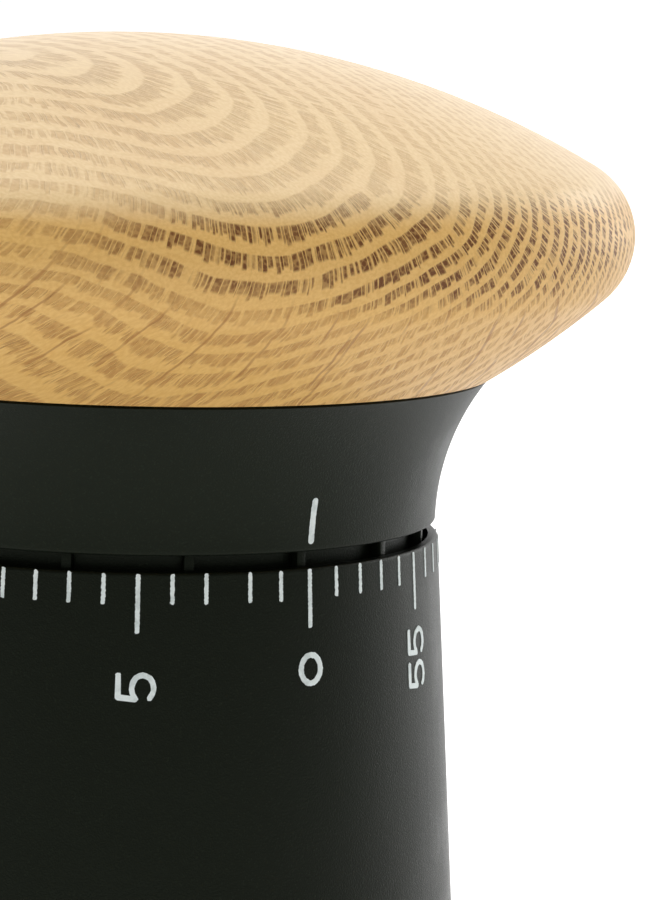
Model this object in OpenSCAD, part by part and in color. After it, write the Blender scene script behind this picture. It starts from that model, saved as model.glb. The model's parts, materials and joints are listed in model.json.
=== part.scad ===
// Wind-up sixty-minute kitchen timer: a tapered body that holds a clockwork movement and a bell,
// and a flared collar with a turned wooden knob that winds it.
// Millimetres, +Z up, origin on the table under the middle of the base, zero mark towards -Y.

/* [Body] */
// Height of the rim above the table
rim_z = 40; // [37:0.5:60]
// Radius of the body at the rim
rim_r = 25; // [23:0.1:32]
// Radius that the rim's cone has at table height
base_r = 27.74; // [25:0.1:36]
// Wall of the body
wall = 1.6; // [1.2:0.1:2.2]
// Wall of the thin lip around the well
lip_wall = 0.8; // [0.6:0.1:1.2]
// Rounding of the rim's outer edge
rim_round = 0.3; // [0.1:0.05:0.5]
// Depth of the well above the deck
well_depth = 6; // [5.5:0.25:8]
// Thickness of the deck that carries the movement
deck_h = 2; // [1.5:0.25:3]
// Width of the ledge in the wall that the deck sits on
ledge_w = 0.8; // [0.5:0.1:1.2]
// Height over which the ledge runs back into the wall
ledge_h = 1.2; // [0.8:0.1:2]
// Height of the spacers between deck and front plate
spacer_h = 1; // [0.5:0.25:2]
// Gap between the table and the edge of the body
foot_gap = 0.8; // [0.4:0.1:1.5]

/* [Base cover] */
// Thickness of the base cover
cover_h = 2.2; // [1.8:0.1:3]
// Bearing of the first cover screw
cover_screw_turn = 103.6; // [95:1:112]
// Radius of the screw bosses
boss_r = 1.7; // [1.5:0.1:2]
// Gap between the screw bosses and the wall, which a web closes
boss_gap = 0.25; // [0:0.05:1]
// Thickness of the webs between the screw bosses and the wall
boss_web_w = 2.4; // [1.6:0.1:3]
// Height of the screw bosses above the cover
boss_h = 10; // [6:0.5:10.5]
// Wall left between a screw's hole and the top of its boss
boss_end = 1; // [0.6:0.1:2]
// Radius of the cover screws
cover_screw_r = 0.9; // [0.7:0.1:1]
// Length of the cover screws' threads above their heads
cover_screw_len = 7.5; // [4:0.5:9]
// Height of the cover screws' heads
cover_head_h = 1; // [0.6:0.1:1.2]
// Depth of the cover screws' counterbores
counterbore_h = 1.3; // [1.2:0.1:1.6]
// Gap between the foot ring and the counterbores
foot_edge_gap = 0.6; // [0.4:0.1:2]
// Width of the rubber foot ring
foot_w = 3.5; // [2:0.1:4.5]
// Depth of the foot ring's groove in the cover
groove_h = 0.8; // [0.5:0.1:1.2]
// Number of sound slots
slot_count = 8; // [4:1:10]
// Width of a sound slot
slot_w = 1.8; // [1:0.1:2.4]
// Radius at which the sound slots begin
slot_in_r = 6; // [5:0.5:8]
// Gap between the sound slots and the foot ring
slot_edge_gap = 2.5; // [1:0.25:5]

/* [Collar] */
// Gap between the rim and the collar
rim_gap = 1.2; // [0.8:0.1:2]
// Height of the collar's flared part
flare_h = 11.9; // [9:0.2:14]
// How far the collar's lower edge stands in from the rim
flare_inset = 0.27; // [0.2:0.05:1]
// How far the collar widens from its lower to its upper edge
flare_rise = 4.11; // [3:0.05:6.5]
// Thickness of the collar's top web
web_h = 2.2; // [1.6:0.1:3]
// Reach of the guide ribs that centre the spigot in the well
rib_reach = 1; // [0.5:0.1:1.5]
// Height of the guide ribs' lower ends above the spigot's edge
rib_lift = 0.4; // [0.2:0.1:1.5]
// Wall of the spigot and of the flare above it
spigot_wall = 1.4; // [1.1:0.1:1.8]
// Gap between the spigot and the deck
spigot_lift = 2; // [1.8:0.1:3]
// Number of guide ribs around the spigot
rib_count = 16; // [8:1:24]
// Width of a guide rib
rib_w = 0.8; // [0.5:0.1:1.2]
// Radius of the hub that grips the winding arbor
hub_r = 4.6; // [4.2:0.1:5.5]
// Gap between the hub and the deck
hub_lift = 1; // [0.6:0.1:2]
// Number of webs between hub and flare
web_rib_count = 6; // [3:1:8]
// Height of the webs under the top web
web_rib_h = 5; // [3:0.5:8]
// Thickness of the webs
web_rib_w = 1.1; // [0.8:0.1:1.6]
// Height of the ring that centres the knob
pilot_h = 1.4; // [1:0.1:2]
// Radius of the ring that centres the knob
pilot_r = 16; // [14:0.5:18]
// Wall of the ring that centres the knob
pilot_wall = 1.6; // [1:0.1:2]

/* [Wooden knob] */
// Radius of the knob at its widest
knob_r = 39.96; // [36:0.5:44]
// Step from the collar's upper edge out to the knob's underside
knob_step = 0.15; // [0:0.05:1.5]
// Total height of the knob
knob_h = 26.5; // [25:0.5:32]
// Height of the widest point above the underside
knob_edge_h = 11.4; // [11:0.1:13]
// Rounding radius of the knob's edge
knob_edge_round = 6.25; // [5:0.25:7]
// Radius of the slight bulge of the knob's underside, seen in section
knob_under_round = 70; // [40:5:200]

/* [Knob fasteners] */
// Radius of the circle that the wood screws stand on
wood_screw_ring_r = 11; // [9.5:0.5:13]
// Radius of the wood screws
wood_screw_r = 1.3; // [1:0.1:1.6]
// Length of the wood screws in the knob
wood_screw_bite = 8; // [5:0.5:12]
// Bearing of the first wood screw
wood_screw_turn = 30; // [20:1:40]
// Length of the wood screws' points
wood_screw_tip = 1; // [0.6:0.1:1.6]
// Radius of the wood screws' heads
wood_screw_head_r = 2.6; // [2.2:0.1:3]
// Height of the wood screws' heads
wood_screw_head_h = 1.4; // [1:0.1:2]
// Width of the spring clip around the hub
clip_h = 2.4; // [1.5:0.1:3.5]
// Wall of the spring clip
clip_wall = 0.6; // [0.4:0.1:1]
// Gap between the ends of the spring clip
clip_mouth = 1.6; // [1:0.1:3]
// Height of the spring clip above the hub's lower end
clip_lift = 0.5; // [0.2:0.1:1.5]

/* [Turning stop] */
// Angle through which the knob turns from zero to full wind
wind_angle = 354; // [340:1:355]
// Angle of the free play at each stop
stop_play = 0.4; // [0.2:0.1:0.8]
// Bearing of the stop on the deck
stop_turn = 64; // [30:1:80]

/* [Plates] */
// Gap between the movement plates and the body's wall
plate_edge_gap = 1.75; // [1.5:0.05:2]
// Thickness of the movement plates
plate_h = 1.2; // [1:0.1:1.6]
// Gap between the uppermost wheel and the front plate
top_gap = 1.05; // [0.6:0.05:1.5]
// How far the pillars stand in from the plates' edge
pillar_inset = 1.4; // [1.3:0.05:1.6]
// Gap between a pillar and the third wheel
pillar_gap = 0.45; // [0.35:0.05:0.55]
// Radius of the pillars
pillar_r = 1.2; // [1:0.05:1.25]
// Radius of the pillars' threaded ends
pillar_end_r = 0.8; // [0.6:0.05:0.9]
// Length of thread that shows beyond a nut
thread_end = 0.2; // [0:0.1:0.3]
// Height of the pillar nuts
nut_h = 1.4; // [1:0.1:1.4]
// Radius of the nuts across their corners
nut_r = 1.9; // [1.6:0.05:2]
// How far the movement screws stand in from the plates' edge
deck_screw_inset = 3.8; // [3.6:0.1:4.7]
// Bearing of the first movement screw
deck_screw_turn = 22; // [15:1:28]
// Radius of the movement screws
deck_screw_r = 1; // [0.8:0.1:1.2]
// Radius of the movement screws' heads
deck_screw_head_r = 2; // [1.7:0.1:2.1]
// Height of the movement screws' heads
deck_screw_head_h = 1.3; // [1:0.1:1.6]

/* [Winding arbor] */
// Radius of the winding arbor
arbor_r = 2.5; // [2:0.1:2.6]
// Depth of the flat along the arbor's upper end
arbor_flat = 0.6; // [0.3:0.05:0.9]
// Radius of the core that the mainspring winds on
core_r = 3.2; // [3:0.1:3.3]
// Radius of the winding arbor's lower pivot
arbor_pivot_r = 1.6; // [1.2:0.1:1.8]
// Gap between the arbor's upper end and the knob
arbor_top_gap = 1.6; // [1:0.1:3]

/* [Mainspring] */
// Width of the mainspring's strip
spring_w = 4; // [3:0.1:4.2]
// Thickness of the mainspring's strip
spring_t = 0.35; // [0.25:0.05:0.45]
// Number of turns of the mainspring
spring_turns = 7; // [5:1:8]
// How far the mainspring's outer turn stays inside the train's arbors
spring_inset = 3.7; // [3.6:0.1:4.7]
// Angle between neighbouring points of the mainspring's spiral
spring_step = 20; // [10:5:30]
// Radius of the post that holds the mainspring's outer end
spring_post_r = 0.8; // [0.6:0.05:0.9]
// Bearing of the mainspring's post
spring_post_turn = 250; // [235:1:262]

/* [Gear train] */
// Pressure angle of the teeth
pressure = 25; // [20:1:27]
// Gap on each flank of the teeth
tooth_play = 0.1; // [0.08:0.01:0.12]
// Teeth of the great wheel
great_teeth = 60; // [59:1:62]
// Teeth of the second wheel
second_teeth = 56; // [54:1:57]
// Teeth of the third wheel
third_teeth = 50; // [49:1:51]
// Teeth of the fourth wheel
fourth_teeth = 48; // [47:1:49]
// Teeth of every pinion
pinion_teeth = 10; // [10:1:11]
// Module of the great wheel and its pinion
great_module = 0.4; // [0.39:0.005:0.41]
// Module of the second and third wheels and their pinions
middle_module = 0.28; // [0.275:0.005:0.285]
// Module of the fourth wheel and its pinion
fourth_module = 0.25; // [0.245:0.005:0.255]
// How far the train's arbors stand in from the plates' edge
train_inset = 8; // [7.8:0.1:8.2]
// Thickness of the great wheel
great_h = 1.2; // [1:0.05:1.3]
// Thickness of the other wheels
wheel_h = 0.8; // [0.6:0.05:0.9]
// Radius of the small arbors
small_arbor_r = 0.6; // [0.5:0.05:0.7]
// Radius of the small arbors' pivots
pivot_r = 0.4; // [0.3:0.05:0.45]
// Gap between neighbouring wheels along the arbors
wheel_gap = 0.4; // [0.35:0.01:0.45]

/* [Escapement] */
// Teeth of the escape wheel
escape_teeth = 15; // [12:1:18]
// Radius of the escape wheel
escape_r = 4; // [3.8:0.1:4.1]
// Distance from the escape arbor to the pallet arbor
pallet_reach = 6.6; // [6.4:0.1:6.8]
// How much farther out than the train's arbors the pallet arbor stands
pallet_offset = 0.8; // [0.6:0.1:1]
// Angle between the line of the two arbors and each pallet
pallet_spread = 40; // [36:1:44]
// Radius of the pallet pins
pallet_pin_r = 0.3; // [0.25:0.05:0.35]
// Gap between the pallet pins and the escape wheel
pallet_gap = 0.35; // [0.3:0.05:0.4]
// Width of the pallet lever's arms
pallet_arm_w = 0.8; // [0.6:0.05:1]
// Wall of the pallet lever around its pins
pallet_eye = 0.3; // [0.25:0.05:0.4]
// Distance from the pallet arbor to the balancing weight
pallet_weight_reach = 3.6; // [3:0.1:3.7]
// Radius of the balancing weight
pallet_weight_r = 1.2; // [0.8:0.1:1.3]

/* [Ratchet and click] */
// Teeth of the ratchet wheel
ratchet_teeth = 12; // [10:1:14]
// Tip radius of the ratchet wheel
ratchet_r = 5.2; // [5:0.1:5.4]
// Depth of the ratchet teeth
ratchet_depth = 0.9; // [0.7:0.05:1]
// Radius at which the click turns on the great wheel
click_r = 8.2; // [8:0.1:8.4]
// Angle between the click's nose and its stud
click_span = 32; // [30:1:36]
// Radius of the click's stud
click_stud_r = 0.7; // [0.5:0.05:0.8]
// Bearing of the ratchet tooth that holds the click
click_tooth_turn = 120; // [120:30:150]
// Angle between the tooth's tip and the click's nose
nose_gap_turn = 3; // [2:0.5:4]
// Gap between the click and the ratchet's root circle
nose_gap = 0.25; // [0.2:0.05:0.3]
// Radius at which the click's spring is fixed to the great wheel
click_spring_r = 10.4; // [10.2:0.1:10.6]
// Thickness of the click's spring
click_spring_t = 0.3; // [0.2:0.05:0.4]

/* [Release] */
// Radius of the release cam
cam_r = 9; // [8.8:0.1:9.1]
// Depth of the cam's notch
notch_depth = 1.6; // [1.2:0.1:2]
// Angle that the notch takes up
notch_span = 22; // [18:1:26]
// How much farther out than the train's arbors the release lever's stud stands
lever_offset = 2; // [1.8:0.1:2.4]
// Angle from the pallet arbor on to the release lever's stud
lever_lead = 29.8; // [28:0.2:32]
// Radius of the release lever's stud
lever_stud_r = 0.8; // [0.6:0.05:0.9]
// Angle between the release lever's stud and its nose
nose_lead = 30; // [28:1:32]
// Angle between the release lever's nose and its fork
fork_lead = 12; // [11:1:14]
// Angle between the release lever's nose and its elbow
elbow_lead = 16; // [14:1:18]
// Width of the release lever at its stud
lever_w = 1.6; // [1.2:0.1:1.8]
// Width of the release lever's nose
nose_w = 0.8; // [0.6:0.1:1]
// Width of the release lever's finger
finger_w = 1.2; // [0.8:0.1:1.4]
// Radius of the release lever's finger tip
finger_r = 0.7; // [0.6:0.05:0.75]
// Angle between the hammer arbor and the release lever's finger
finger_lag = 4; // [3:0.5:5]

/* [Hammer] */
// How far the hammer arbor stands in from the plates' edge
hammer_inset = 2.2; // [2:0.05:2.3]
// Distance from the fourth arbor to the hammer arbor
hammer_reach = 7.34; // [7.25:0.05:7.6]
// Radius of the hammer arbor
hammer_arbor_r = 0.7; // [0.6:0.05:0.75]
// Angle from the hammer's head on to the hammer arbor
head_lead = 40; // [36:1:44]
// Radius of the hammer's head
head_r = 1.8; // [1.4:0.1:2]
// Height of the hammer's head
head_h = 3.2; // [2.4:0.1:4]
// Radius of the wire of the small springs
wire_r = 0.2; // [0.15:0.01:0.25]
// Height of the small springs' coils
coil_h = 1.2; // [0.8:0.1:1.3]
// Length of the small springs' legs along the levers
leg_len = 2.7; // [2.2:0.1:3.2]
// Gap between the resting head and the bell
head_swing = 1.7; // [1.4:0.1:1.9]
// Width of the hammer's arms
arm_w = 1.4; // [1.1:0.1:1.6]
// Width of the arm that the release lever holds
stop_w = 1; // [0.8:0.1:1.1]
// Wall of the levers around an arbor
eye_wall = 0.65; // [0.5:0.05:0.75]
// Thickness of the hammer's arms
arm_h = 0.8; // [0.6:0.05:1]
// Points of the strike wheel
strike_points = 6; // [5:1:8]
// Radius of the strike wheel
strike_r = 2.2; // [2:0.05:2.3]

/* [Bell] */
// Outer radius of the bell
bell_r = 16.2; // [15.5:0.1:16.4]
// Wall of the bell
bell_wall = 0.8; // [0.6:0.1:1.2]
// Gap between the back plate and the bell's rim
bell_drop = 2; // [1.8:0.1:3]
// Radius of the bell's rounded shoulder
bell_round = 4; // [3:0.25:5]
// Radius of the bell's post
post_r = 2; // [1.6:0.1:2.4]
// Radius of the post's flange
flange_r = 5; // [4:0.25:6]
// Thickness of the post's flange
flange_h = 0.8; // [0.6:0.05:1]
// Radius of the bell screw
bell_screw_r = 1; // [0.8:0.05:1.2]
// Height of the bell screw's head
bell_screw_head_h = 1.2; // [0.9:0.1:1.5]
// Wall of the bell screw's head beyond the post
bell_screw_rim = 0.3; // [0.1:0.1:0.6]

/* [Clearances] */
// Radial play of a shaft that turns in a hole
run_gap = 0.05; // [0.03:0.005:0.08]
// Radial play of a piece that is fixed on another
fit_gap = 0.02; // [0.01:0.005:0.03]
// Gap between a seated piece and its seat
seat_gap = 0.15; // [0.1:0.05:0.25]
// Gap between pieces that pass each other
pass_gap = 0.3; // [0.2:0.05:0.35]

/* [Hidden] */
$fn = 64;
// Overlap of a cutting shape past the face that it cuts
cut = 0.5;
// Overlap that joins two shapes of one piece
weld = 0.1;
// Windows of a wheel: their place and their radius as shares of its pitch radius, and their first bearing
window_place = 0.56;
window_share = 0.2;
window_turn = 30;
// Root circle of the strike wheel as a share of its radius
strike_root = 0.55;
// Place of a strike wheel's root between two points, as a share of their spacing
strike_lean = 0.3;
// Escape wheel: root circle as a share of its radius, and each tooth's corners as shares of the pitch
escape_root = 0.74;
escape_back = 0.3;
escape_tip = 0.06;
escape_front = 0.15;
// Windows of the escape wheel: their count, and their place and radius as shares of its radius
escape_windows = 4;
escape_window_place = 0.45;
escape_window_share = 0.17;
// Click: where its back, its belly and its neck turn, as shares of its span from the stud
click_back = 1 / 6;
click_belly = 0.44;
click_neck = 0.75;
// Angle from the click's nose to the post of its spring
click_post_lead = 4;
// Depth of a tooth above and below the pitch circle, in modules
addendum = 0.8;
dedendum = 1.1;

// Heights, from the rim down and up
deck_z = rim_z - well_depth;
deck_low_z = deck_z - deck_h;
front_top_z = deck_low_z - spacer_h;
front_z = front_top_z - plate_h;
second_lift = spring_w + 2 * wheel_gap;
plate_gap = second_lift + 3 * wheel_h + 3 * great_h + 4 * wheel_gap + seat_gap + top_gap;
back_top_z = front_z - plate_gap;
back_z = back_top_z - plate_h;
cover_top_z = foot_gap + cover_h;
collar_z = rim_z + rim_gap;
collar_top_z = collar_z + flare_h;
web_z = collar_top_z - web_h;
spigot_z = deck_z + spigot_lift;
hub_z = deck_z + hub_lift;
knob_z = collar_top_z;
arbor_top_z = collar_top_z - arbor_top_gap;

// Radii that follow the body's cone and its rim
room_r = min(body_r(foot_gap), body_r(deck_low_z)) - wall;
ledge_r = min(rim_r - lip_wall - ledge_w, body_r(deck_low_z) - wall);
plate_r = room_r - plate_edge_gap;
boss_ring_r = min(body_r(cover_top_z), body_r(cover_top_z + boss_h)) - wall - boss_gap - boss_r;
web_out_r = (body_r(cover_top_z) + body_r(cover_top_z + boss_h) - wall) / 2;
foot_out_r = boss_ring_r - boss_r - foot_edge_gap;
foot_in_r = foot_out_r - foot_w;
slot_out_r = foot_in_r - slot_edge_gap;
spigot_r = rim_r - lip_wall - pass_gap - rib_reach;
flare_low_r = rim_r - flare_inset;
flare_top_r = flare_low_r + flare_rise;
knob_under_r = flare_top_r + knob_step;
pillar_ring_r = plate_r - pillar_inset;
deck_screw_ring_r = plate_r - deck_screw_inset;
train_r = plate_r - train_inset;
spring_out_r = train_r - spring_inset;
pallet_ring_r = train_r + pallet_offset;
lever_ring_r = train_r + lever_offset;
hammer_ring_r = plate_r - hammer_inset;

// Levels of the movement, from the back plate up
spring_z = back_top_z + wheel_gap;
second_z = back_top_z + second_lift;
great_z = second_z + wheel_h + wheel_gap;
ratchet_z = great_z + great_h + seat_gap;
ratchet_h = great_h;
third_z = ratchet_z + ratchet_h + wheel_gap;
cam_z = third_z + wheel_h + wheel_gap;
cam_h = great_h;
fourth_z = cam_z + cam_h + wheel_gap;
strike_z = back_top_z + coil_h + 2 * wheel_gap;
pallet_z = second_z - wheel_gap - wheel_h - seat_gap;

// Places of the arbors, seen from above
third_tip_r = middle_module * (third_teeth / 2 + addendum);
second_at = polar(great_module * (great_teeth + pinion_teeth) / 2, 0);
second_r = norm(second_at);
third_reach = middle_module * (second_teeth + pinion_teeth) / 2;
fourth_reach = middle_module * (third_teeth + pinion_teeth) / 2;
escape_reach = fourth_module * (fourth_teeth + pinion_teeth) / 2;
third_turn = corner_angle(second_r, train_r, third_reach);
fourth_turn = third_turn + corner_angle(train_r, train_r, fourth_reach);
escape_turn = fourth_turn + corner_angle(train_r, train_r, escape_reach);
pallet_turn = escape_turn + corner_angle(train_r, pallet_ring_r, pallet_reach);
hammer_turn = fourth_turn + corner_angle(train_r, hammer_ring_r, hammer_reach);
head_turn = hammer_turn - head_lead;
lever_turn = pallet_turn + lever_lead;
pillar_turn = third_turn + corner_angle(train_r, pillar_ring_r, third_tip_r + pillar_r + pillar_gap);
third_at = polar(train_r, third_turn);
fourth_at = polar(train_r, fourth_turn);
escape_at = polar(train_r, escape_turn);
pallet_at = polar(pallet_ring_r, pallet_turn);
hammer_at = polar(hammer_ring_r, hammer_turn);
lever_at = polar(lever_ring_r, lever_turn);
spring_post_ring_r = spring_out_r + spring_post_r + pass_gap;
spring_post_at = polar(spring_post_ring_r, spring_post_turn);

// Angles at which each toothed wheel stands in mesh with the one before it
second_pinion_turn = mesh_turn(bearing([0, 0], second_at), 0, great_teeth, pinion_teeth);
third_pinion_turn = mesh_turn(bearing(second_at, third_at), 0, second_teeth, pinion_teeth);
fourth_pinion_turn = mesh_turn(bearing(third_at, fourth_at), 0, third_teeth, pinion_teeth);
escape_pinion_turn = mesh_turn(bearing(fourth_at, escape_at), 0, fourth_teeth, pinion_teeth);

// Knob outline: the bulge of the underside and the dome both touch the round edge
edge_c = [knob_r - knob_edge_round, knob_edge_h];
under_end = [knob_under_r, 0];
under_way = bearing(under_end, edge_c);
under_reach = norm(edge_c - under_end);
under_along = (pow(knob_under_round, 2) - pow(knob_under_round - knob_edge_round, 2) + pow(under_reach, 2))
    / (2 * under_reach);
under_aside = sqrt(pow(knob_under_round, 2) - pow(under_along, 2));
under_c = under_end + polar(under_along, under_way) + polar(under_aside, under_way + 90);
under_end_a = bearing(under_c, under_end);
edge_start_a = bearing(under_c, edge_c);
dome_drop = knob_h - knob_edge_h;
dome_r = (edge_c[0] * edge_c[0] + dome_drop * dome_drop - knob_edge_round * knob_edge_round)
    / (2 * (dome_drop - knob_edge_round));
dome_c = [0, knob_h - dome_r];
dome_end_a = bearing(dome_c, edge_c);
// The dome ends in a flat spot under a millimetre wide
dome_top_a = 89.7;

// Collar outline: one arc, upright at the lower edge
flare_arc_r = (flare_h * flare_h + flare_rise * flare_rise) / (2 * flare_rise);
flare_arc_a = asin(flare_h / flare_arc_r);

// Turning stop
stop_span = (360 - wind_angle - 2 * stop_play) / 2;
stop_in_r = spigot_r - spigot_wall + seat_gap;
stop_out_r = spigot_r - seat_gap;

// Hammer
wire_w = 2 * wire_r;
bell_rim_z = back_z - bell_drop;
bell_low_z = cover_top_z + bell_screw_head_h + pass_gap;
head_ring_r = bell_r + head_swing + head_r;
head_at = polar(head_ring_r, head_turn);
arm_z = bell_rim_z - wheel_gap - arm_h;
tail_off = asin((strike_r + pass_gap + arm_w / 2) / norm(fourth_at - hammer_at));
tail_turn = bearing(hammer_at, fourth_at) - tail_off;
tail_len = norm(fourth_at - hammer_at);

function polar(r, a) = [r * cos(a), r * sin(a)];
function bearing(a, b) = atan2(b[1] - a[1], b[0] - a[0]);
// Angle at the middle between two arms of length a and b whose ends stand c apart
function corner_angle(a, b, c) = acos((a * a + b * b - c * c) / (2 * a * b));
function body_r(z) = base_r - (base_r - rim_r) * z / rim_z;
function involute(a) = tan(a) * 180 / PI - a;
// Turn of a driven wheel that puts its tooth gap on the line of centres opposite a driver's tooth
function mesh_turn(line, driver_turn, za, zb) =
    line + 180 - 360 / zb * (1 / 2 - (line - driver_turn) * za / 360);
// Half the angle that a tooth takes up at radius r
function half_tooth(n, m, r) =
    let (base = m * n / 2 * cos(pressure))
    let (thin = tooth_play / 2 / (m * n / 2) * 180 / PI)
    90 / n + involute(pressure) - involute(acos(min(1, base / r))) - thin;
// Radii at which a flank has its points, from root to tip
function flank_radii(n, m) =
    let (base = m * n / 2 * cos(pressure))
    let (root = m * (n / 2 - dedendum))
    let (tip = m * (n / 2 + addendum))
    let (low = max(root, base))
    concat(low > root ? [root] : [], [for (k = [0:3]) low + (tip - low) * k / 3]);
function gear_points(n, m) =
    let (rr = flank_radii(n, m))
    let (last = len(rr) - 1)
    [for (i = [0:n - 1]) each concat(
        [for (k = [0:last]) polar(rr[k], i * 360 / n - half_tooth(n, m, rr[k]))],
        [for (k = [last:-1:0]) polar(rr[k], i * 360 / n + half_tooth(n, m, rr[k]))])];
function arc(c, r, a, b, steps) = [for (k = [0:steps]) c + polar(r, a + (b - a) * k / steps)];
// Arc without its first point, for one that goes on from another
function arc_on(c, r, a, b, steps) = [for (k = [1:steps]) c + polar(r, a + (b - a) * k / steps)];

module at(p, z = 0) {
    translate([p[0], p[1], z]) children();
}
module ring_of(count, r, turn = 0) {
    for (k = [0:count - 1]) rotate([0, 0, turn + k * 360 / count]) translate([r, 0, 0]) children();
}
module tube(out_r, in_r, h) {
    difference() {
        cylinder(r = out_r, h = h);
        translate([0, 0, -cut]) cylinder(r = in_r, h = h + 2 * cut);
    }
}
module drill(r, h) {
    translate([0, 0, -cut]) cylinder(r = r, h = h + 2 * cut);
}
module sector(in_r, out_r, h, middle, span) {
    rotate([0, 0, middle - span / 2]) rotate_extrude(angle = span)
        translate([in_r, 0]) square([out_r - in_r, h]);
}
// Flat bar between two points
module bar(a, b, w, h) {
    at(a) rotate([0, 0, bearing(a, b)]) translate([0, -w / 2, 0]) cube([norm(b - a), w, h]);
}
module gear(n, m, h, turn) {
    rotate([0, 0, turn]) linear_extrude(height = h) polygon(gear_points(n, m));
}
// Wheel with round windows between its rim and its hub, bored for its arbor
module crossed_wheel(n, m, h, bore_r, windows) {
    pitch_r = m * n / 2;
    difference() {
        gear(n, m, h, 0);
        drill(bore_r, h);
        ring_of(windows, pitch_r * window_place, window_turn) drill(pitch_r * window_share, h);
    }
}
// Arbor with pivots in both plates and a pinion for a wheel of height h that turns at level z
module pinion_arbor(p, m, z, h, turn) {
    body_z = back_top_z + seat_gap;
    at(p, back_z + seat_gap) cylinder(r = pivot_r, h = front_top_z - back_z - 2 * seat_gap);
    at(p, body_z) cylinder(r = small_arbor_r, h = plate_gap - 2 * seat_gap);
    at(p, z - wheel_gap / 2) gear(pinion_teeth, m, h + wheel_gap, turn);
}
module wheel_on(p, z, n, m) {
    at(p, z) crossed_wheel(n, m, wheel_h, small_arbor_r + fit_gap, 4);
}
module pan_head(r, h) {
    round_r = h * 0.6;
    rotate_extrude()
        polygon(concat([[0, 0], [r, 0]], arc([r - round_r, h - round_r], round_r, 0, 90, 5), [[0, h]]));
}
module slotted_head(r, h) {
    difference() {
        pan_head(r, h);
        translate([-r - cut, -r * 0.12, h * 0.55]) cube([2 * (r + cut), r * 0.24, h]);
    }
}

// ---- body ----
module body_outline() {
    polygon(concat(
        [[body_r(foot_gap), foot_gap]],
        arc([rim_r - rim_round, rim_z - rim_round], rim_round, 4, 90, 6),
        [
            [rim_r - lip_wall, rim_z],
            [rim_r - lip_wall, deck_low_z],
            [ledge_r, deck_low_z],
            [body_r(deck_low_z - ledge_h) - wall, deck_low_z - ledge_h],
            [body_r(foot_gap) - wall, foot_gap]
        ]));
}
module body_shell() {
    color([0.13, 0.14, 0.14]) difference() {
        union() {
            rotate_extrude($fn = 180) body_outline();
            // bosses for the cover screws, joined to the wall
            ring_of(3, boss_ring_r, cover_screw_turn) translate([0, 0, cover_top_z]) {
                cylinder(r = boss_r, h = boss_h);
                translate([0, -boss_web_w / 2, 0]) cube([web_out_r - boss_ring_r, boss_web_w, boss_h]);
            }
        }
        ring_of(3, boss_ring_r, cover_screw_turn) translate([0, 0, cover_top_z - cut])
            cylinder(r = cover_screw_r + fit_gap, h = boss_h - boss_end + cut);
    }
}
module deck() {
    color([0.13, 0.14, 0.14]) difference() {
        union() {
            translate([0, 0, deck_low_z]) cylinder(r = rim_r - lip_wall - fit_gap, h = deck_h, $fn = 180);
            // spacers under the deck around the movement screws
            ring_of(3, deck_screw_ring_r, deck_screw_turn) translate([0, 0, front_top_z])
                cylinder(r = deck_screw_head_r, h = spacer_h + cut);
            // stop for the collar's lug
            translate([0, 0, deck_z - cut])
                sector(stop_in_r, stop_out_r, cut + spigot_lift - pass_gap, stop_turn, stop_span);
        }
        translate([0, 0, deck_low_z]) drill(arbor_r + pass_gap, deck_h);
        ring_of(3, deck_screw_ring_r, deck_screw_turn) translate([0, 0, front_top_z])
            drill(deck_screw_r + run_gap, deck_h + spacer_h);
    }
}
module base_cover() {
    cover_r = body_r(foot_gap) - wall - seat_gap - (base_r - rim_r) * cover_h / rim_z;
    color([0.12, 0.12, 0.12]) translate([0, 0, foot_gap]) difference() {
        cylinder(r = cover_r, h = cover_h, $fn = 128);
        translate([0, 0, -cut]) tube(foot_out_r + fit_gap, foot_in_r - fit_gap, groove_h + cut);
        ring_of(3, boss_ring_r, cover_screw_turn) {
            drill(cover_screw_r + run_gap, cover_h);
            translate([0, 0, -cut]) cylinder(r = boss_r, h = counterbore_h + cut);
        }
        ring_of(slot_count, slot_in_r) translate([0, -slot_w / 2, -cut])
            cube([slot_out_r - slot_in_r, slot_w, cover_h + 2 * cut]);
    }
}
module cover_screws() {
    head_z = foot_gap + counterbore_h;
    color([0.7, 0.7, 0.72]) ring_of(3, boss_ring_r, cover_screw_turn) {
        translate([0, 0, head_z]) rotate([180, 0, 0]) slotted_head(boss_r - seat_gap, cover_head_h);
        translate([0, 0, head_z - weld]) cylinder(r = cover_screw_r, h = cover_screw_len + weld);
    }
}
module foot_ring() {
    color([0.08, 0.08, 0.08]) rotate_extrude($fn = 128) polygon([
        [foot_in_r, foot_gap + groove_h],
        [foot_in_r, foot_gap / 2],
        [foot_in_r + foot_gap / 2, 0],
        [foot_out_r - foot_gap / 2, 0],
        [foot_out_r, foot_gap / 2],
        [foot_out_r, foot_gap + groove_h]
    ]);
}

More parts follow.
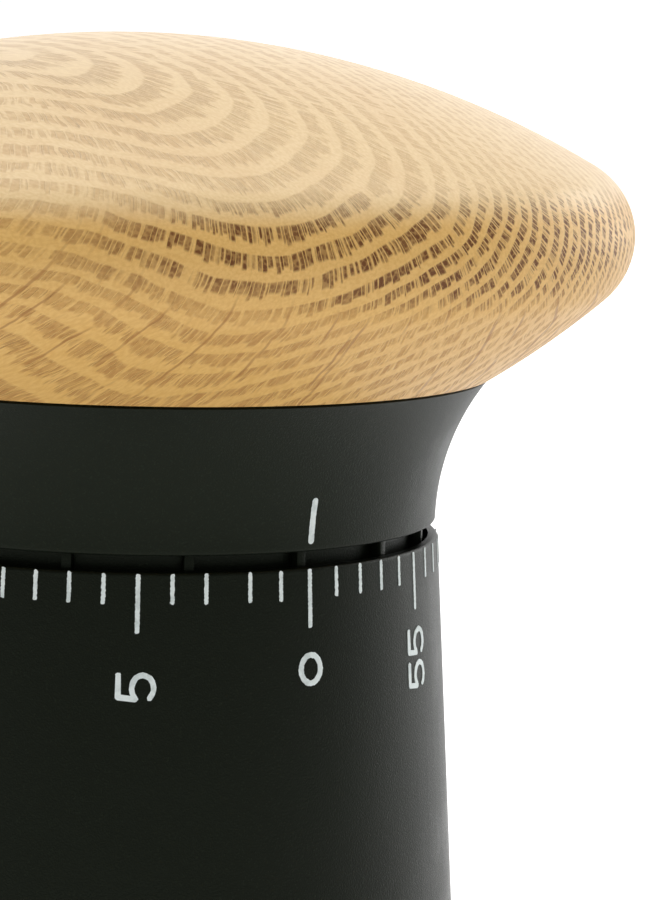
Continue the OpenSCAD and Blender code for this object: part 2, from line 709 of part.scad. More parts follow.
// ---- collar and knob ----
module flare_outline() {
    inner_r = spigot_r - spigot_wall;
    polygon(concat(
        [
            [inner_r, spigot_z],
            [spigot_r, spigot_z],
            [spigot_r, collar_z]
        ],
        [for (k = [0:20])
            let (a = flare_arc_a * k / 20)
            [flare_low_r + flare_arc_r * (1 - cos(a)), collar_z + flare_arc_r * sin(a)]],
        [
            [pilot_r, collar_top_z],
            [pilot_r, collar_top_z + pilot_h],
            [pilot_r - pilot_wall, collar_top_z + pilot_h],
            [pilot_r - pilot_wall, collar_top_z],
            [0, collar_top_z],
            [0, web_z],
            [inner_r + flare_rise - wall, web_z],
            [inner_r, web_z - (flare_rise - wall) * 2]
        ]));
}
module collar() {
    lug_z = deck_z + pass_gap;
    lug_turn = stop_turn - stop_span - stop_play;
    inner_r = spigot_r - spigot_wall;
    color([0.15, 0.16, 0.15]) difference() {
        union() {
            rotate_extrude($fn = 180) flare_outline();
            translate([0, 0, hub_z]) cylinder(r = hub_r, h = web_z - hub_z + cut);
            ring_of(web_rib_count, 0) translate([0, -web_rib_w / 2, web_z - web_rib_h])
                cube([inner_r + flare_rise - wall + fit_gap, web_rib_w, web_rib_h + cut]);
            // guide ribs that centre the spigot in the well
            ring_of(rib_count, spigot_r - cut, -90) translate([0, -rib_w / 2, spigot_z + rib_lift])
                cube([rib_reach + cut, rib_w, collar_z - spigot_z]);
            // lug that meets the stop on the deck
            translate([0, 0, lug_z])
                sector(stop_in_r, stop_out_r, spigot_z - lug_z + cut, lug_turn, stop_span);
        }
        // bore for the winding arbor, with its flat
        difference() {
            translate([0, 0, hub_z]) drill(arbor_r + fit_gap, collar_top_z - hub_z);
            translate([arbor_r - arbor_flat + fit_gap, -arbor_r, hub_z - 2 * cut])
                cube([arbor_r, 2 * arbor_r, collar_top_z - hub_z + 4 * cut]);
        }
        ring_of(3, wood_screw_ring_r, wood_screw_turn) translate([0, 0, web_z])
            drill(wood_screw_r + run_gap, web_h);
    }
}
function knob_points() = concat(
    [[0, 0]],
    arc(under_c, knob_under_round, under_end_a, edge_start_a, 5),
    arc_on(edge_c, knob_edge_round, edge_start_a, dome_end_a, 20),
    arc_on(dome_c, dome_r, dome_end_a, dome_top_a, 25),
    [[0, dome_c[1] + dome_r * sin(dome_top_a)]]);
module wood_knob() {
    color([0.85, 0.74, 0.55]) translate([0, 0, knob_z]) difference() {
        rotate_extrude($fn = 180) polygon(knob_points());
        // groove for the collar's centring ring
        translate([0, 0, -cut])
            tube(pilot_r + seat_gap, pilot_r - pilot_wall - seat_gap, pilot_h + seat_gap + cut);
        ring_of(3, wood_screw_ring_r, wood_screw_turn) translate([0, 0, -cut])
            cylinder(r = wood_screw_r + fit_gap, h = wood_screw_bite + wood_screw_tip + cut);
    }
}
module knob_screws() {
    color([0.75, 0.75, 0.77]) ring_of(3, wood_screw_ring_r, wood_screw_turn) {
        translate([0, 0, web_z]) rotate([180, 0, 0]) slotted_head(wood_screw_head_r, wood_screw_head_h);
        translate([0, 0, web_z - weld]) cylinder(r = wood_screw_r, h = web_h + wood_screw_bite);
        translate([0, 0, knob_z + wood_screw_bite - 2 * weld])
            cylinder(r1 = wood_screw_r, r2 = wood_screw_r / 4, h = wood_screw_tip);
    }
}
module hub_clip() {
    color([0.8, 0.8, 0.82]) translate([0, 0, hub_z + clip_lift]) difference() {
        tube(hub_r + fit_gap + clip_wall, hub_r + fit_gap, clip_h);
        translate([0, -clip_mouth / 2, -cut]) cube([2 * hub_r, clip_mouth, clip_h + 2 * cut]);
    }
}

// ---- winding arbor ----
module winding_arbor() {
    color([0.72, 0.72, 0.74]) difference() {
        union() {
            translate([0, 0, back_z + seat_gap]) cylinder(r = arbor_pivot_r, h = spring_z - back_z);
            translate([0, 0, back_top_z + seat_gap]) cylinder(r = core_r, h = spring_w + wheel_gap);
            translate([0, 0, spring_z]) cylinder(r = arbor_r, h = arbor_top_z - spring_z);
        }
        translate([arbor_r - arbor_flat, -arbor_r, deck_z])
            cube([arbor_r, 2 * arbor_r, arbor_top_z - deck_z + cut]);
    }
}
module ratchet_wheel() {
    root_r = ratchet_r - ratchet_depth;
    pitch_a = 360 / ratchet_teeth;
    color([0.7, 0.68, 0.62]) translate([0, 0, ratchet_z]) difference() {
        linear_extrude(height = ratchet_h) polygon([for (k = [0:ratchet_teeth - 1]) each [
            polar(root_r, k * pitch_a),
            polar((root_r + ratchet_r) / 2, (k + 0.5) * pitch_a),
            polar(ratchet_r, (k + 1) * pitch_a)
        ]]);
        drill(arbor_r + fit_gap, ratchet_h);
    }
}
module release_cam() {
    notch_turn = nose_turn + notch_span / 10;
    color([0.8, 0.8, 0.8]) translate([0, 0, cam_z]) difference() {
        cylinder(r = cam_r, h = cam_h);
        drill(arbor_r + fit_gap, cam_h);
        translate([0, 0, -cut])
            sector(cam_r - notch_depth, cam_r + cut, cam_h + 2 * cut, notch_turn, notch_span);
    }
}

// ---- plates ----
module plate_blank() {
    difference() {
        cylinder(r = plate_r, h = plate_h);
        ring_of(3, boss_ring_r, cover_screw_turn) drill(boss_r + pass_gap, plate_h);
        ring_of(3, pillar_ring_r, pillar_turn) drill(pillar_end_r + fit_gap, plate_h);
        for (p = [second_at, third_at, fourth_at, escape_at, pallet_at])
            at(p) drill(pivot_r + run_gap, plate_h);
        at(hammer_at) drill(hammer_arbor_r + run_gap, plate_h);
        at(lever_at) drill(pivot_r + fit_gap, plate_h);
    }
}
module front_plate() {
    color([0.83, 0.72, 0.42]) translate([0, 0, front_z]) difference() {
        plate_blank();
        drill(arbor_r + run_gap, plate_h);
        ring_of(3, deck_screw_ring_r, deck_screw_turn) drill(deck_screw_r + fit_gap, plate_h);
    }
}
module back_plate() {
    color([0.83, 0.72, 0.42]) translate([0, 0, back_z]) difference() {
        plate_blank();
        drill(arbor_pivot_r + run_gap, plate_h);
        at(spring_post_at) drill(pivot_r + fit_gap, plate_h);
    }
}
module plate_pillars() {
    color([0.8, 0.8, 0.8]) ring_of(3, pillar_ring_r, pillar_turn) {
        translate([0, 0, back_top_z]) cylinder(r = pillar_r, h = plate_gap);
        translate([0, 0, back_z - nut_h - thread_end])
            cylinder(r = pillar_end_r, h = front_top_z - back_z + nut_h + thread_end);
    }
}
module pillar_nuts() {
    color([0.75, 0.75, 0.75]) ring_of(3, pillar_ring_r, pillar_turn)
        translate([0, 0, back_z - nut_h]) difference() {
            cylinder(r = nut_r, h = nut_h, $fn = 6);
            drill(pillar_end_r + fit_gap, nut_h);
        }
}
module movement_screws() {
    color([0.75, 0.75, 0.75]) ring_of(3, deck_screw_ring_r, deck_screw_turn) {
        translate([0, 0, deck_z]) slotted_head(deck_screw_head_r, deck_screw_head_h);
        translate([0, 0, front_z]) cylinder(r = deck_screw_r, h = deck_z - front_z + weld);
    }
}

// ---- bell ----
module bell() {
    inner_r = bell_r - bell_wall;
    inner_round = bell_round - bell_wall;
    floor_z = bell_low_z + bell_wall;
    color([0.85, 0.85, 0.83]) rotate_extrude($fn = 128) polygon(concat(
        [[bell_screw_r + run_gap, bell_low_z]],
        arc([bell_r - bell_round, bell_low_z + bell_round], bell_round, -90, 0, 8),
        [[bell_r, bell_rim_z], [inner_r, bell_rim_z]],
        arc([inner_r - inner_round, floor_z + inner_round], inner_round, 0, -90, 8),
        [[bell_screw_r + run_gap, floor_z]]));
}
module bell_post() {
    floor_z = bell_low_z + bell_wall;
    color([0.75, 0.75, 0.75]) difference() {
        union() {
            translate([0, 0, floor_z]) cylinder(r = post_r, h = back_z - floor_z);
            translate([0, 0, back_z - flange_h]) cylinder(r = flange_r, h = flange_h);
        }
        translate([0, 0, floor_z - cut])
            cylinder(r = bell_screw_r + fit_gap, h = (back_z - floor_z) / 2 + cut);
    }
}
module bell_screw() {
    color([0.75, 0.75, 0.75]) {
        translate([0, 0, bell_low_z]) rotate([180, 0, 0])
            slotted_head(post_r + bell_screw_rim, bell_screw_head_h);
        translate([0, 0, bell_low_z - weld]) cylinder(r = bell_screw_r, h = (back_z - bell_low_z) / 2);
    }
}

// ---- mainspring ----
module mainspring() {
    in_r = core_r + pass_gap;
    steps = round(360 * spring_turns / spring_step);
    turn = 360 * spring_turns / steps;
    start = spring_post_turn - 360 * spring_turns;
    pitch_r = (spring_out_r - spring_t - in_r) / steps;
    eye_r = spring_post_r + fit_gap;
    color([0.45, 0.5, 0.6]) translate([0, 0, spring_z]) {
        linear_extrude(height = spring_w) polygon(concat(
            [for (k = [0:steps]) polar(in_r + pitch_r * k, start + k * turn)],
            [for (k = [steps:-1:0]) polar(in_r + pitch_r * k + spring_t, start + k * turn)]));
        at(spring_post_at) tube(eye_r + spring_t, eye_r, spring_w);
    }
}
module spring_post() {
    color([0.75, 0.75, 0.75]) at(spring_post_at) {
        translate([0, 0, back_z]) cylinder(r = pivot_r, h = plate_h + weld);
        translate([0, 0, back_top_z]) cylinder(r = spring_post_r, h = wheel_gap + spring_w);
    }
}

// ---- great wheel and click ----
click_stud_turn = click_tooth_turn + click_span + nose_gap_turn;
click_at = polar(click_r, click_stud_turn);
click_spring_lead = click_span + click_post_lead;
click_h = ratchet_h - seat_gap;
click_spring_post = polar(click_spring_r, click_stud_turn - click_spring_lead);
module great_wheel() {
    pitch_r = great_module * great_teeth / 2;
    window_r = (pitch_r - arbor_r) * window_share;
    color([0.85, 0.7, 0.35]) translate([0, 0, great_z]) difference() {
        gear(great_teeth, great_module, great_h, 0);
        drill(arbor_r + run_gap, great_h);
        at(click_at) drill(click_stud_r + fit_gap, great_h);
        at(click_spring_post) drill(pivot_r + fit_gap, great_h);
        for (a = [-120:60:60]) rotate([0, 0, a]) translate([(pitch_r + arbor_r) / 2, 0, 0])
            drill(window_r, great_h);
    }
}
module click_stud() {
    color([0.75, 0.75, 0.75]) at(click_at, great_z) {
        cylinder(r = click_stud_r, h = great_h + ratchet_h + seat_gap);
    }
}
module click_spring() {
    strip_h = click_h / 2 + seat_gap;
    color([0.6, 0.62, 0.68]) {
        at(click_spring_post, great_z) cylinder(r = pivot_r, h = great_h + ratchet_h);
        translate([0, 0, ratchet_z + pass_gap])
            bar(click_spring_post, polar(click_back_r + 3 * click_spring_t, click_stud_turn - click_span / 2),
                click_spring_t, strip_h);
    }
}
// Radius at which the click's back passes halfway between nose and stud
click_back_r = (ratchet_r + click_r) / 2;
module click() {
    nose_a = click_stud_turn - click_span;
    nose_top_r = ratchet_r + 2 * nose_gap;
    color([0.7, 0.7, 0.72]) translate([0, 0, ratchet_z]) difference() {
        union() {
            linear_extrude(height = click_h) polygon([
                polar(ratchet_r - ratchet_depth + nose_gap, nose_a),
                polar(nose_top_r, nose_a),
                polar(click_r - pass_gap, click_stud_turn - click_span * click_back),
                polar(click_r - ratchet_depth, click_stud_turn),
                polar(nose_top_r, click_stud_turn - click_span * click_belly),
                polar(ratchet_r - nose_gap, click_stud_turn - click_span * click_neck)
            ]);
            at(click_at) cylinder(r = click_stud_r + eye_wall, h = click_h);
        }
        at(click_at) drill(click_stud_r + run_gap, ratchet_h);
    }
}

// ---- gear train ----
module second_arbor() {
    color([0.72, 0.72, 0.74])
        pinion_arbor(second_at, great_module, great_z, great_h, second_pinion_turn);
}
module second_wheel() {
    color([0.85, 0.7, 0.35]) wheel_on(second_at, second_z, second_teeth, middle_module);
}
module third_arbor() {
    color([0.72, 0.72, 0.74])
        pinion_arbor(third_at, middle_module, second_z, wheel_h, third_pinion_turn);
}
module third_wheel() {
    color([0.85, 0.7, 0.35]) wheel_on(third_at, third_z, third_teeth, middle_module);
}
module fourth_arbor() {
    color([0.72, 0.72, 0.74])
        pinion_arbor(fourth_at, middle_module, third_z, wheel_h, fourth_pinion_turn);
}
module fourth_wheel() {
    color([0.85, 0.7, 0.35]) wheel_on(fourth_at, fourth_z, fourth_teeth, fourth_module);
}
module strike_wheel() {
    color([0.75, 0.75, 0.75]) at(fourth_at, strike_z) difference() {
        linear_extrude(height = wheel_h) polygon([for (k = [0:strike_points - 1]) each [
            polar(strike_r, k * 360 / strike_points),
            polar(strike_r * strike_root, (k + strike_lean) * 360 / strike_points)
        ]]);
        drill(small_arbor_r + fit_gap, wheel_h);
    }
}
module escape_arbor() {
    color([0.72, 0.72, 0.74])
        pinion_arbor(escape_at, fourth_module, fourth_z, wheel_h, escape_pinion_turn);
}
module escape_wheel() {
    pitch_a = 360 / escape_teeth;
    color([0.85, 0.7, 0.35]) at(escape_at, second_z) difference() {
        linear_extrude(height = wheel_h) polygon([for (k = [0:escape_teeth - 1]) each [
            polar(escape_r * escape_root, (k - escape_back) * pitch_a),
            polar(escape_r, (k - escape_tip) * pitch_a),
            polar(escape_r, (k + escape_tip) * pitch_a),
            polar(escape_r * escape_root, (k + escape_front) * pitch_a)
        ]]);
        drill(small_arbor_r + fit_gap, wheel_h);
        ring_of(escape_windows, escape_r * escape_window_place)
            drill(escape_r * escape_window_share, wheel_h);
    }
}

// ---- pallets ----
escape_to_pallet = bearing(escape_at, pallet_at);
weight_at = pallet_at + polar(pallet_weight_reach, escape_to_pallet);
pin_reach = escape_r + pallet_gap + pallet_pin_r;
pin_places = [for (s = [-1, 1]) escape_at + polar(pin_reach, escape_to_pallet + s * pallet_spread)];
module pallet_arbor() {
    color([0.72, 0.72, 0.74]) {
        at(pallet_at, back_z + seat_gap) cylinder(r = pivot_r, h = front_top_z - back_z - 2 * seat_gap);
        at(pallet_at, back_top_z + seat_gap) cylinder(r = small_arbor_r, h = plate_gap - 2 * seat_gap);
    }
}
module pallet_lever() {
    color([0.7, 0.7, 0.72]) translate([0, 0, pallet_z]) difference() {
        union() {
            for (p = pin_places) {
                bar(pallet_at, p, pallet_arm_w, wheel_h);
                at(p) cylinder(r = pallet_pin_r + pallet_eye, h = wheel_h);
            }
            at(pallet_at) cylinder(r = small_arbor_r + eye_wall, h = wheel_h);
            bar(pallet_at, weight_at, pallet_arm_w, wheel_h);
            at(weight_at) cylinder(r = pallet_weight_r, h = wheel_h);
        }
        at(pallet_at) drill(small_arbor_r + fit_gap, wheel_h);
        for (p = pin_places) at(p) drill(pallet_pin_r + fit_gap, wheel_h);
    }
}
module pallet_pins() {
    color([0.8, 0.8, 0.82]) for (p = pin_places) at(p, pallet_z)
        cylinder(r = pallet_pin_r, h = second_z + wheel_h + seat_gap - pallet_z);
}

// ---- release lever ----
nose_turn = lever_turn - nose_lead;
nose_r = nose_w / 2 + weld;
nose_at = polar(cam_r + pass_gap / 2 + nose_r, nose_turn);
// Circle halfway between the cam's axis side and the train's arbors, along which the lever runs
lane_r = (cam_r + train_r) / 2;
fork_at = polar(lane_r + pass_gap / 2, nose_turn + fork_lead);
elbow_at = polar(lane_r, nose_turn - elbow_lead);
finger_turn = hammer_turn - finger_lag;
finger_foot = polar(train_r - lever_w, finger_turn);
finger_at = polar(train_r - pass_gap / 2, finger_turn);
// Point beside a line that runs from a at the given turn
function beside(a, turn, along, off) = a + polar(along, turn) + polar(off, turn + 90);
module lever_stud() {
    color([0.75, 0.75, 0.75]) {
        at(lever_at, back_z) cylinder(r = pivot_r, h = front_top_z - back_z);
        at(lever_at, back_top_z) cylinder(r = lever_stud_r, h = plate_gap);
    }
}
module release_lever() {
    color([0.7, 0.7, 0.72]) translate([0, 0, cam_z]) difference() {
        union() {
            at(lever_at) cylinder(r = lever_stud_r + eye_wall, h = cam_h);
            bar(lever_at, fork_at, lever_w, cam_h);
            at(fork_at) cylinder(r = lever_w / 2 + weld, h = cam_h);
            bar(fork_at, nose_at, nose_w, cam_h);
            at(nose_at) cylinder(r = nose_r, h = cam_h);
            bar(fork_at, elbow_at, finger_w, cam_h);
            at(elbow_at) cylinder(r = finger_r, h = cam_h);
            bar(elbow_at, finger_foot, finger_w, cam_h);
            at(finger_foot) cylinder(r = finger_r, h = cam_h);
            bar(finger_foot, finger_at, finger_w, cam_h);
            at(finger_at) cylinder(r = finger_r, h = cam_h);
        }
        at(lever_at) drill(lever_stud_r + run_gap, cam_h);
    }
}
module lever_spring() {
    coil_in_r = lever_stud_r + fit_gap;
    leg_at = beside(lever_at, bearing(lever_at, fork_at), leg_len, lever_w / 2 + pass_gap + wire_r);
    coil_z = cam_z - wheel_gap - coil_h;
    color([0.6, 0.62, 0.68]) {
        at(lever_at, coil_z) tube(coil_in_r + wire_w, coil_in_r, coil_h);
        translate([0, 0, coil_z])
            bar(beside(lever_at, bearing(lever_at, leg_at), coil_in_r + wire_r, 0), leg_at, wire_w, wire_w);
        at(leg_at, coil_z) cylinder(r = wire_r, h = cam_z + cam_h - coil_z);
    }
}

// ---- hammer ----
module hammer_arbor() {
    low_z = arm_z - seat_gap;
    color([0.72, 0.72, 0.74]) at(hammer_at, low_z)
        cylinder(r = hammer_arbor_r, h = front_top_z - seat_gap - low_z);
}
module hammer_arm() {
    color([0.7, 0.7, 0.72]) translate([0, 0, arm_z]) difference() {
        union() {
            bar(hammer_at, head_at, arm_w, arm_h);
            at(hammer_at) cylinder(r = hammer_arbor_r + eye_wall, h = arm_h);
            at(head_at) cylinder(r = arm_w / 2 + pivot_r, h = arm_h);
        }
        at(hammer_at) drill(hammer_arbor_r + fit_gap, arm_h);
        at(head_at) drill(pivot_r + fit_gap, arm_h);
    }
}
module hammer_head() {
    color([0.8, 0.68, 0.4]) {
        at(head_at, arm_z - head_h) cylinder(r = head_r, h = head_h);
        at(head_at, arm_z - weld) cylinder(r = pivot_r, h = arm_h + 2 * weld);
    }
}
module hammer_tail() {
    tail_end = hammer_at + polar(tail_len, tail_turn);
    color([0.7, 0.7, 0.72]) translate([0, 0, strike_z]) difference() {
        union() {
            bar(hammer_at, tail_end, arm_w, wheel_h);
            at(hammer_at) cylinder(r = hammer_arbor_r + eye_wall, h = wheel_h);
        }
        at(hammer_at) drill(hammer_arbor_r + fit_gap, wheel_h);
    }
}
// Arm that the release lever's finger holds while the timer runs
module hammer_stop() {
    reach = norm(finger_at - hammer_at);
    turn = bearing(hammer_at, finger_at) - asin((finger_r + stop_w / 2 + pass_gap) / reach);
    color([0.7, 0.7, 0.72]) translate([0, 0, cam_z]) difference() {
        union() {
            bar(hammer_at, hammer_at + polar(reach + finger_r, turn), stop_w, wheel_h);
            at(hammer_at) cylinder(r = hammer_arbor_r + eye_wall, h = wheel_h);
        }
        at(hammer_at) drill(hammer_arbor_r + fit_gap, wheel_h);
    }
}
module hammer_spring() {
    coil_in_r = hammer_arbor_r + pass_gap;
    leg_at = beside(hammer_at, tail_turn, leg_len, -arm_w / 2 - pass_gap - wire_r);
    color([0.6, 0.62, 0.68]) translate([0, 0, back_top_z]) {
        at(hammer_at) tube(coil_in_r + wire_w, coil_in_r, coil_h);
        bar(beside(hammer_at, bearing(hammer_at, leg_at), coil_in_r + wire_r, 0), leg_at, wire_w, wire_w);
        at(leg_at) cylinder(r = wire_r, h = strike_z + wheel_h - back_top_z);
    }
}

body_shell();
deck();
base_cover();
cover_screws();
foot_ring();
front_plate();
back_plate();
plate_pillars();
pillar_nuts();
movement_screws();
mainspring();
spring_post();
bell();
bell_post();
bell_screw();
lever_stud();
hammer_spring();
lever_spring();
wood_knob();
collar();
knob_screws();
hub_clip();
winding_arbor();
ratchet_wheel();
release_cam();
great_wheel();
click_stud();
click_spring();
click();
second_arbor();
second_wheel();
third_arbor();
third_wheel();
fourth_arbor();
fourth_wheel();
strike_wheel();
escape_arbor();
escape_wheel();
pallet_arbor();
pallet_lever();
pallet_pins();
release_lever();
hammer_arbor();
hammer_arm();
hammer_head();
hammer_tail();
hammer_stop();
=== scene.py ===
# %% [markdown]
# # A wind-up kitchen timer with an oak knob
# The timer is a black moulded body with a printed scale of sixty minutes, a flared collar that turns
# in its mouth, and a turned oak knob on top. Inside sit a clockwork and a bell.
# The measured solids come first, as a frame that nothing here moves. Each later cell gives one piece
# its shape or its finish, in metres, in the same place as the solid.

# %% The frame of measured solids
import json
import math

import bpy
import bmesh
from mathutils import Matrix, Vector, noise
from mathutils.geometry import delaunay_2d_cdt


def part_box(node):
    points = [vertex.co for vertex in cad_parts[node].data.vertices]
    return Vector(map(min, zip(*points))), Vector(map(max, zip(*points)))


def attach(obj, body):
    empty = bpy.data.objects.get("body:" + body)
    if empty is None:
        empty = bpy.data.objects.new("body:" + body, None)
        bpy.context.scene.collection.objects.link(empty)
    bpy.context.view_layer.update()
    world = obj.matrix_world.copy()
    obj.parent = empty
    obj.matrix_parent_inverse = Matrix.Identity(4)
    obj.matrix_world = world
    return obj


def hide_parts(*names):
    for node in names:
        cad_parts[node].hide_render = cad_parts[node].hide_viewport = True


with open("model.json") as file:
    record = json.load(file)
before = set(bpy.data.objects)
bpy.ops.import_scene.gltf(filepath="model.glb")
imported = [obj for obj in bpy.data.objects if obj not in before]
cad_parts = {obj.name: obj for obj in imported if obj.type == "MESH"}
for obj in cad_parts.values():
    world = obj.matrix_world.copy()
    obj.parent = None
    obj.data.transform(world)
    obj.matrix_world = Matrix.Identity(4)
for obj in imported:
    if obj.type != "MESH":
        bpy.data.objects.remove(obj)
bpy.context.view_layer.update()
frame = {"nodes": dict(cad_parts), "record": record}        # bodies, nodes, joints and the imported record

MM = 0.001

# %% [markdown]
# ## The camera
# A long lens close to a small object gives a flat, calm perspective. The camera stands about 350 mm
# away, a little above the rim of the body, and turned round the timer so that the zero of the scale is
# right of the middle. It could be aimed with a Track To constraint, but its own axes are written as a
# matrix here, because the slight roll of a hand-held camera is then one plain angle.

# %% Camera
def show(name, data):
    """Puts a new object in the scene."""
    thing = bpy.data.objects.new(name, data)
    bpy.context.scene.collection.objects.link(thing)
    return thing


CAMERA_ROUND = math.radians(-33.66)    # where it stands round the timer, from the front
CAMERA_AWAY = 0.35035
CAMERA_HEIGHT = 0.09247
yaw, pitch, roll = 0.0459, 0.1307, 0.0298
FOCAL_LENGTH, SENSOR_WIDTH = 174.84, 36.0      # in mm, as on a real camera

ahead = Vector((math.sin(yaw) * math.cos(pitch), math.cos(yaw) * math.cos(pitch), -math.sin(pitch)))
level = Vector((math.cos(yaw), -math.sin(yaw), 0))
upward = level.cross(ahead)
right = level * math.cos(roll) + upward * math.sin(roll)
top = upward * math.cos(roll) - level * math.sin(roll)
axes = Matrix((right, top, -ahead)).transposed().to_4x4()
stand = Matrix.Translation((0, -CAMERA_AWAY, CAMERA_HEIGHT)) @ axes

lens = bpy.data.cameras.new("studio_camera")
lens.sensor_width = SENSOR_WIDTH
lens.lens = FOCAL_LENGTH
lens.clip_start = 0.01
camera = show("studio_camera", lens)
camera.matrix_world = Matrix.Rotation(CAMERA_ROUND, 4, "Z") @ stand
bpy.context.scene.camera = camera
print("camera at", [round(c, 4) for c in camera.matrix_world.translation])

# %% [markdown]
# ## Small helpers for node trees
# Both shader trees and Geometry Nodes trees are built in the script, so a few short helpers keep the
# later cells readable: one feeds a socket with a link or a plain value, one adds a node, and the rest
# name the sums, steps, mixes, noises and groups that come up often.

# %% Helpers for node trees
def feed(tree, socket, source):
    """Gives a socket a link, or a plain value."""
    if isinstance(source, bpy.types.NodeSocket):
        tree.links.new(source, socket)
    elif source is not None:
        socket.default_value = source


def add(tree, kind, settings=None, **inputs):
    """Adds a node. An input is named as on the node, with _ for each space."""
    node = tree.nodes.new(kind)
    for key, value in (settings or {}).items():
        setattr(node, key, value)
    for key, source in inputs.items():
        feed(tree, node.inputs[key.replace("_", " ")], source)
    return node


def maths(tree, operation, *terms):
    node = add(tree, "ShaderNodeMath", {"operation": operation})
    for socket, term in zip(node.inputs, terms):
        feed(tree, socket, term)
    return node.outputs[0]


def vectors(tree, operation, *terms):
    node = add(tree, "ShaderNodeVectorMath", {"operation": operation})
    for socket, term in zip(node.inputs, terms):
        feed(tree, socket, term)
    return node.outputs["Value" if operation == "DOT_PRODUCT" else "Vector"]


def product(tree, first, *others):
    """The first term times each of the others."""
    for other in others:
        first = maths(tree, "MULTIPLY", first, other)
    return first


def distance(tree, x, y):
    """How far a point lies from the origin of its plane."""
    return maths(tree, "SQRT", maths(tree, "ADD", product(tree, x, x), product(tree, y, y)))


def step_up(tree, value, low, high, **ends):
    """A soft step from 0 at low to 1 at high, or between the ends To_Min and To_Max."""
    return add(tree, "ShaderNodeMapRange", {"interpolation_type": "SMOOTHSTEP"}, Value=value,
               From_Min=low, From_Max=high, **ends).outputs["Result"]


def mix_of(tree, kind, share, first, second):
    """A mix of two colours or vectors. The Mix node has other sockets for each kind."""
    one, two, out = {"VECTOR": (4, 5, 1), "RGBA": (6, 7, 2)}[kind]
    node = add(tree, "ShaderNodeMix", {"data_type": kind}, Factor=share)
    feed(tree, node.inputs[one], first)
    feed(tree, node.inputs[two], second)
    return node.outputs[out]


def noise_in(tree, point, scale=1.0, detail=2.0, roughness=0.5):
    node = add(tree, "ShaderNodeTexNoise", Vector=point, Scale=scale, Detail=detail, Roughness=roughness)
    return node.outputs


def new_finish(name):
    """A material with its shader, ready for links."""
    material = bpy.data.materials.new(name)
    material.use_nodes = True
    return material, material.node_tree, material.node_tree.nodes["Principled BSDF"]


def new_group(name, kind, inputs, outputs):
    """A node group with named sockets. Each input is (name, socket kind, value)."""
    tree = bpy.data.node_groups.new(name, kind)
    for label, socket, value in inputs:
        item = tree.interface.new_socket(label, in_out="INPUT", socket_type="NodeSocket" + socket)
        if value is not None:
            item.default_value = value
    for label, socket in outputs:
        tree.interface.new_socket(label, in_out="OUTPUT", socket_type="NodeSocket" + socket)
    return tree, tree.nodes.new("NodeGroupInput").outputs, tree.nodes.new("NodeGroupOutput").inputs


# %% [markdown]
# ## The studio
# The floor is a plain pale sheet. What the camera sees of it should be white, and still show the
# timer's soft shadow. Part of its brightness therefore comes from the camera ray alone, which lights
# nothing. The rest is diffuse paint with a faint glow of its own, like a light table. The world does
# the same: it is white for the camera and a plain grey level as light. In reflections it is a white
# wall behind the timer and a dimmer room in front, as in a real studio, so that the black plastic
# stays black and gets bright edges.

# %% Floor
CAMERA_WHITE = 0.74       # brightness that only the camera sees
FLOOR_GLOW = 0.24         # brightness that lights the timer too
FLOOR_HALF = 4.0


def shown_rays(tree):
    """1 for rays from the camera and for mirrored or refracted ones."""
    rays = add(tree, "ShaderNodeLightPath").outputs
    seen = maths(tree, "MAXIMUM", rays["Is Camera Ray"], rays["Is Glossy Ray"])
    return maths(tree, "MAXIMUM", seen, rays["Is Transmission Ray"])


floor_paint, tree, paint = new_finish("floor_paint")
paint.inputs["Roughness"].default_value = 0.9
paint.inputs["Specular IOR Level"].default_value = 0.1
fleck = noise_in(tree, add(tree, "ShaderNodeTexCoord").outputs["Object"], 3.0)["Fac"]
tone = add(tree, "ShaderNodeValToRGB", Fac=fleck)
tone.color_ramp.elements[0].color = (0.80, 0.80, 0.80, 1)
tone.color_ramp.elements[1].color = (0.84, 0.84, 0.84, 1)
feed(tree, paint.inputs["Base Color"], tone.outputs["Color"])
paint.inputs["Emission Color"].default_value = (1, 1, 1, 1)
shown = product(tree, shown_rays(tree), CAMERA_WHITE)
feed(tree, paint.inputs["Emission Strength"], maths(tree, "MAXIMUM", shown, FLOOR_GLOW))

sheet = bpy.data.meshes.new("floor")
corners = [(x * FLOOR_HALF, y * FLOOR_HALF, 0) for x, y in ((-1, -1), (1, -1), (1, 1), (-1, 1))]
sheet.from_pydata(corners, [], [(0, 1, 2, 3)])
sheet.materials.append(floor_paint)
floor = show("floor", sheet)
print("floor at height", floor.location.z)

# %% World and lamps
WALL_LIGHT, FRONT_LIGHT = 1.4, 0.10      # of the mirrored wall behind the timer, and of the room in front
ROOM_LIGHT = 0.33                        # of the plain grey that lights the timer from all round
LAMPS_AIM = Vector((0, 0, 0.05))         # the middle of the collar

world = bpy.data.worlds.new("studio")
world.use_nodes = True
tree = world.node_tree
backing = tree.nodes["Background"]
backing.inputs["Color"].default_value = (1, 1, 1, 1)
back_turn = math.radians(90) + CAMERA_ROUND
behind = (math.cos(back_turn), math.sin(back_turn), 0)
rays = add(tree, "ShaderNodeLightPath").outputs
way_back = vectors(tree, "DOT_PRODUCT", add(tree, "ShaderNodeTexCoord").outputs["Generated"], behind)
wall = step_up(tree, way_back, -0.4, 0.6, To_Min=FRONT_LIGHT, To_Max=WALL_LIGHT)
plain = maths(tree, "MAXIMUM", rays["Is Camera Ray"], rays["Is Transmission Ray"])
bright = maths(tree, "MAXIMUM", plain, product(tree, rays["Is Glossy Ray"], wall))
feed(tree, backing.inputs["Strength"], maths(tree, "MAXIMUM", bright, ROOM_LIGHT))
bpy.context.scene.world = world


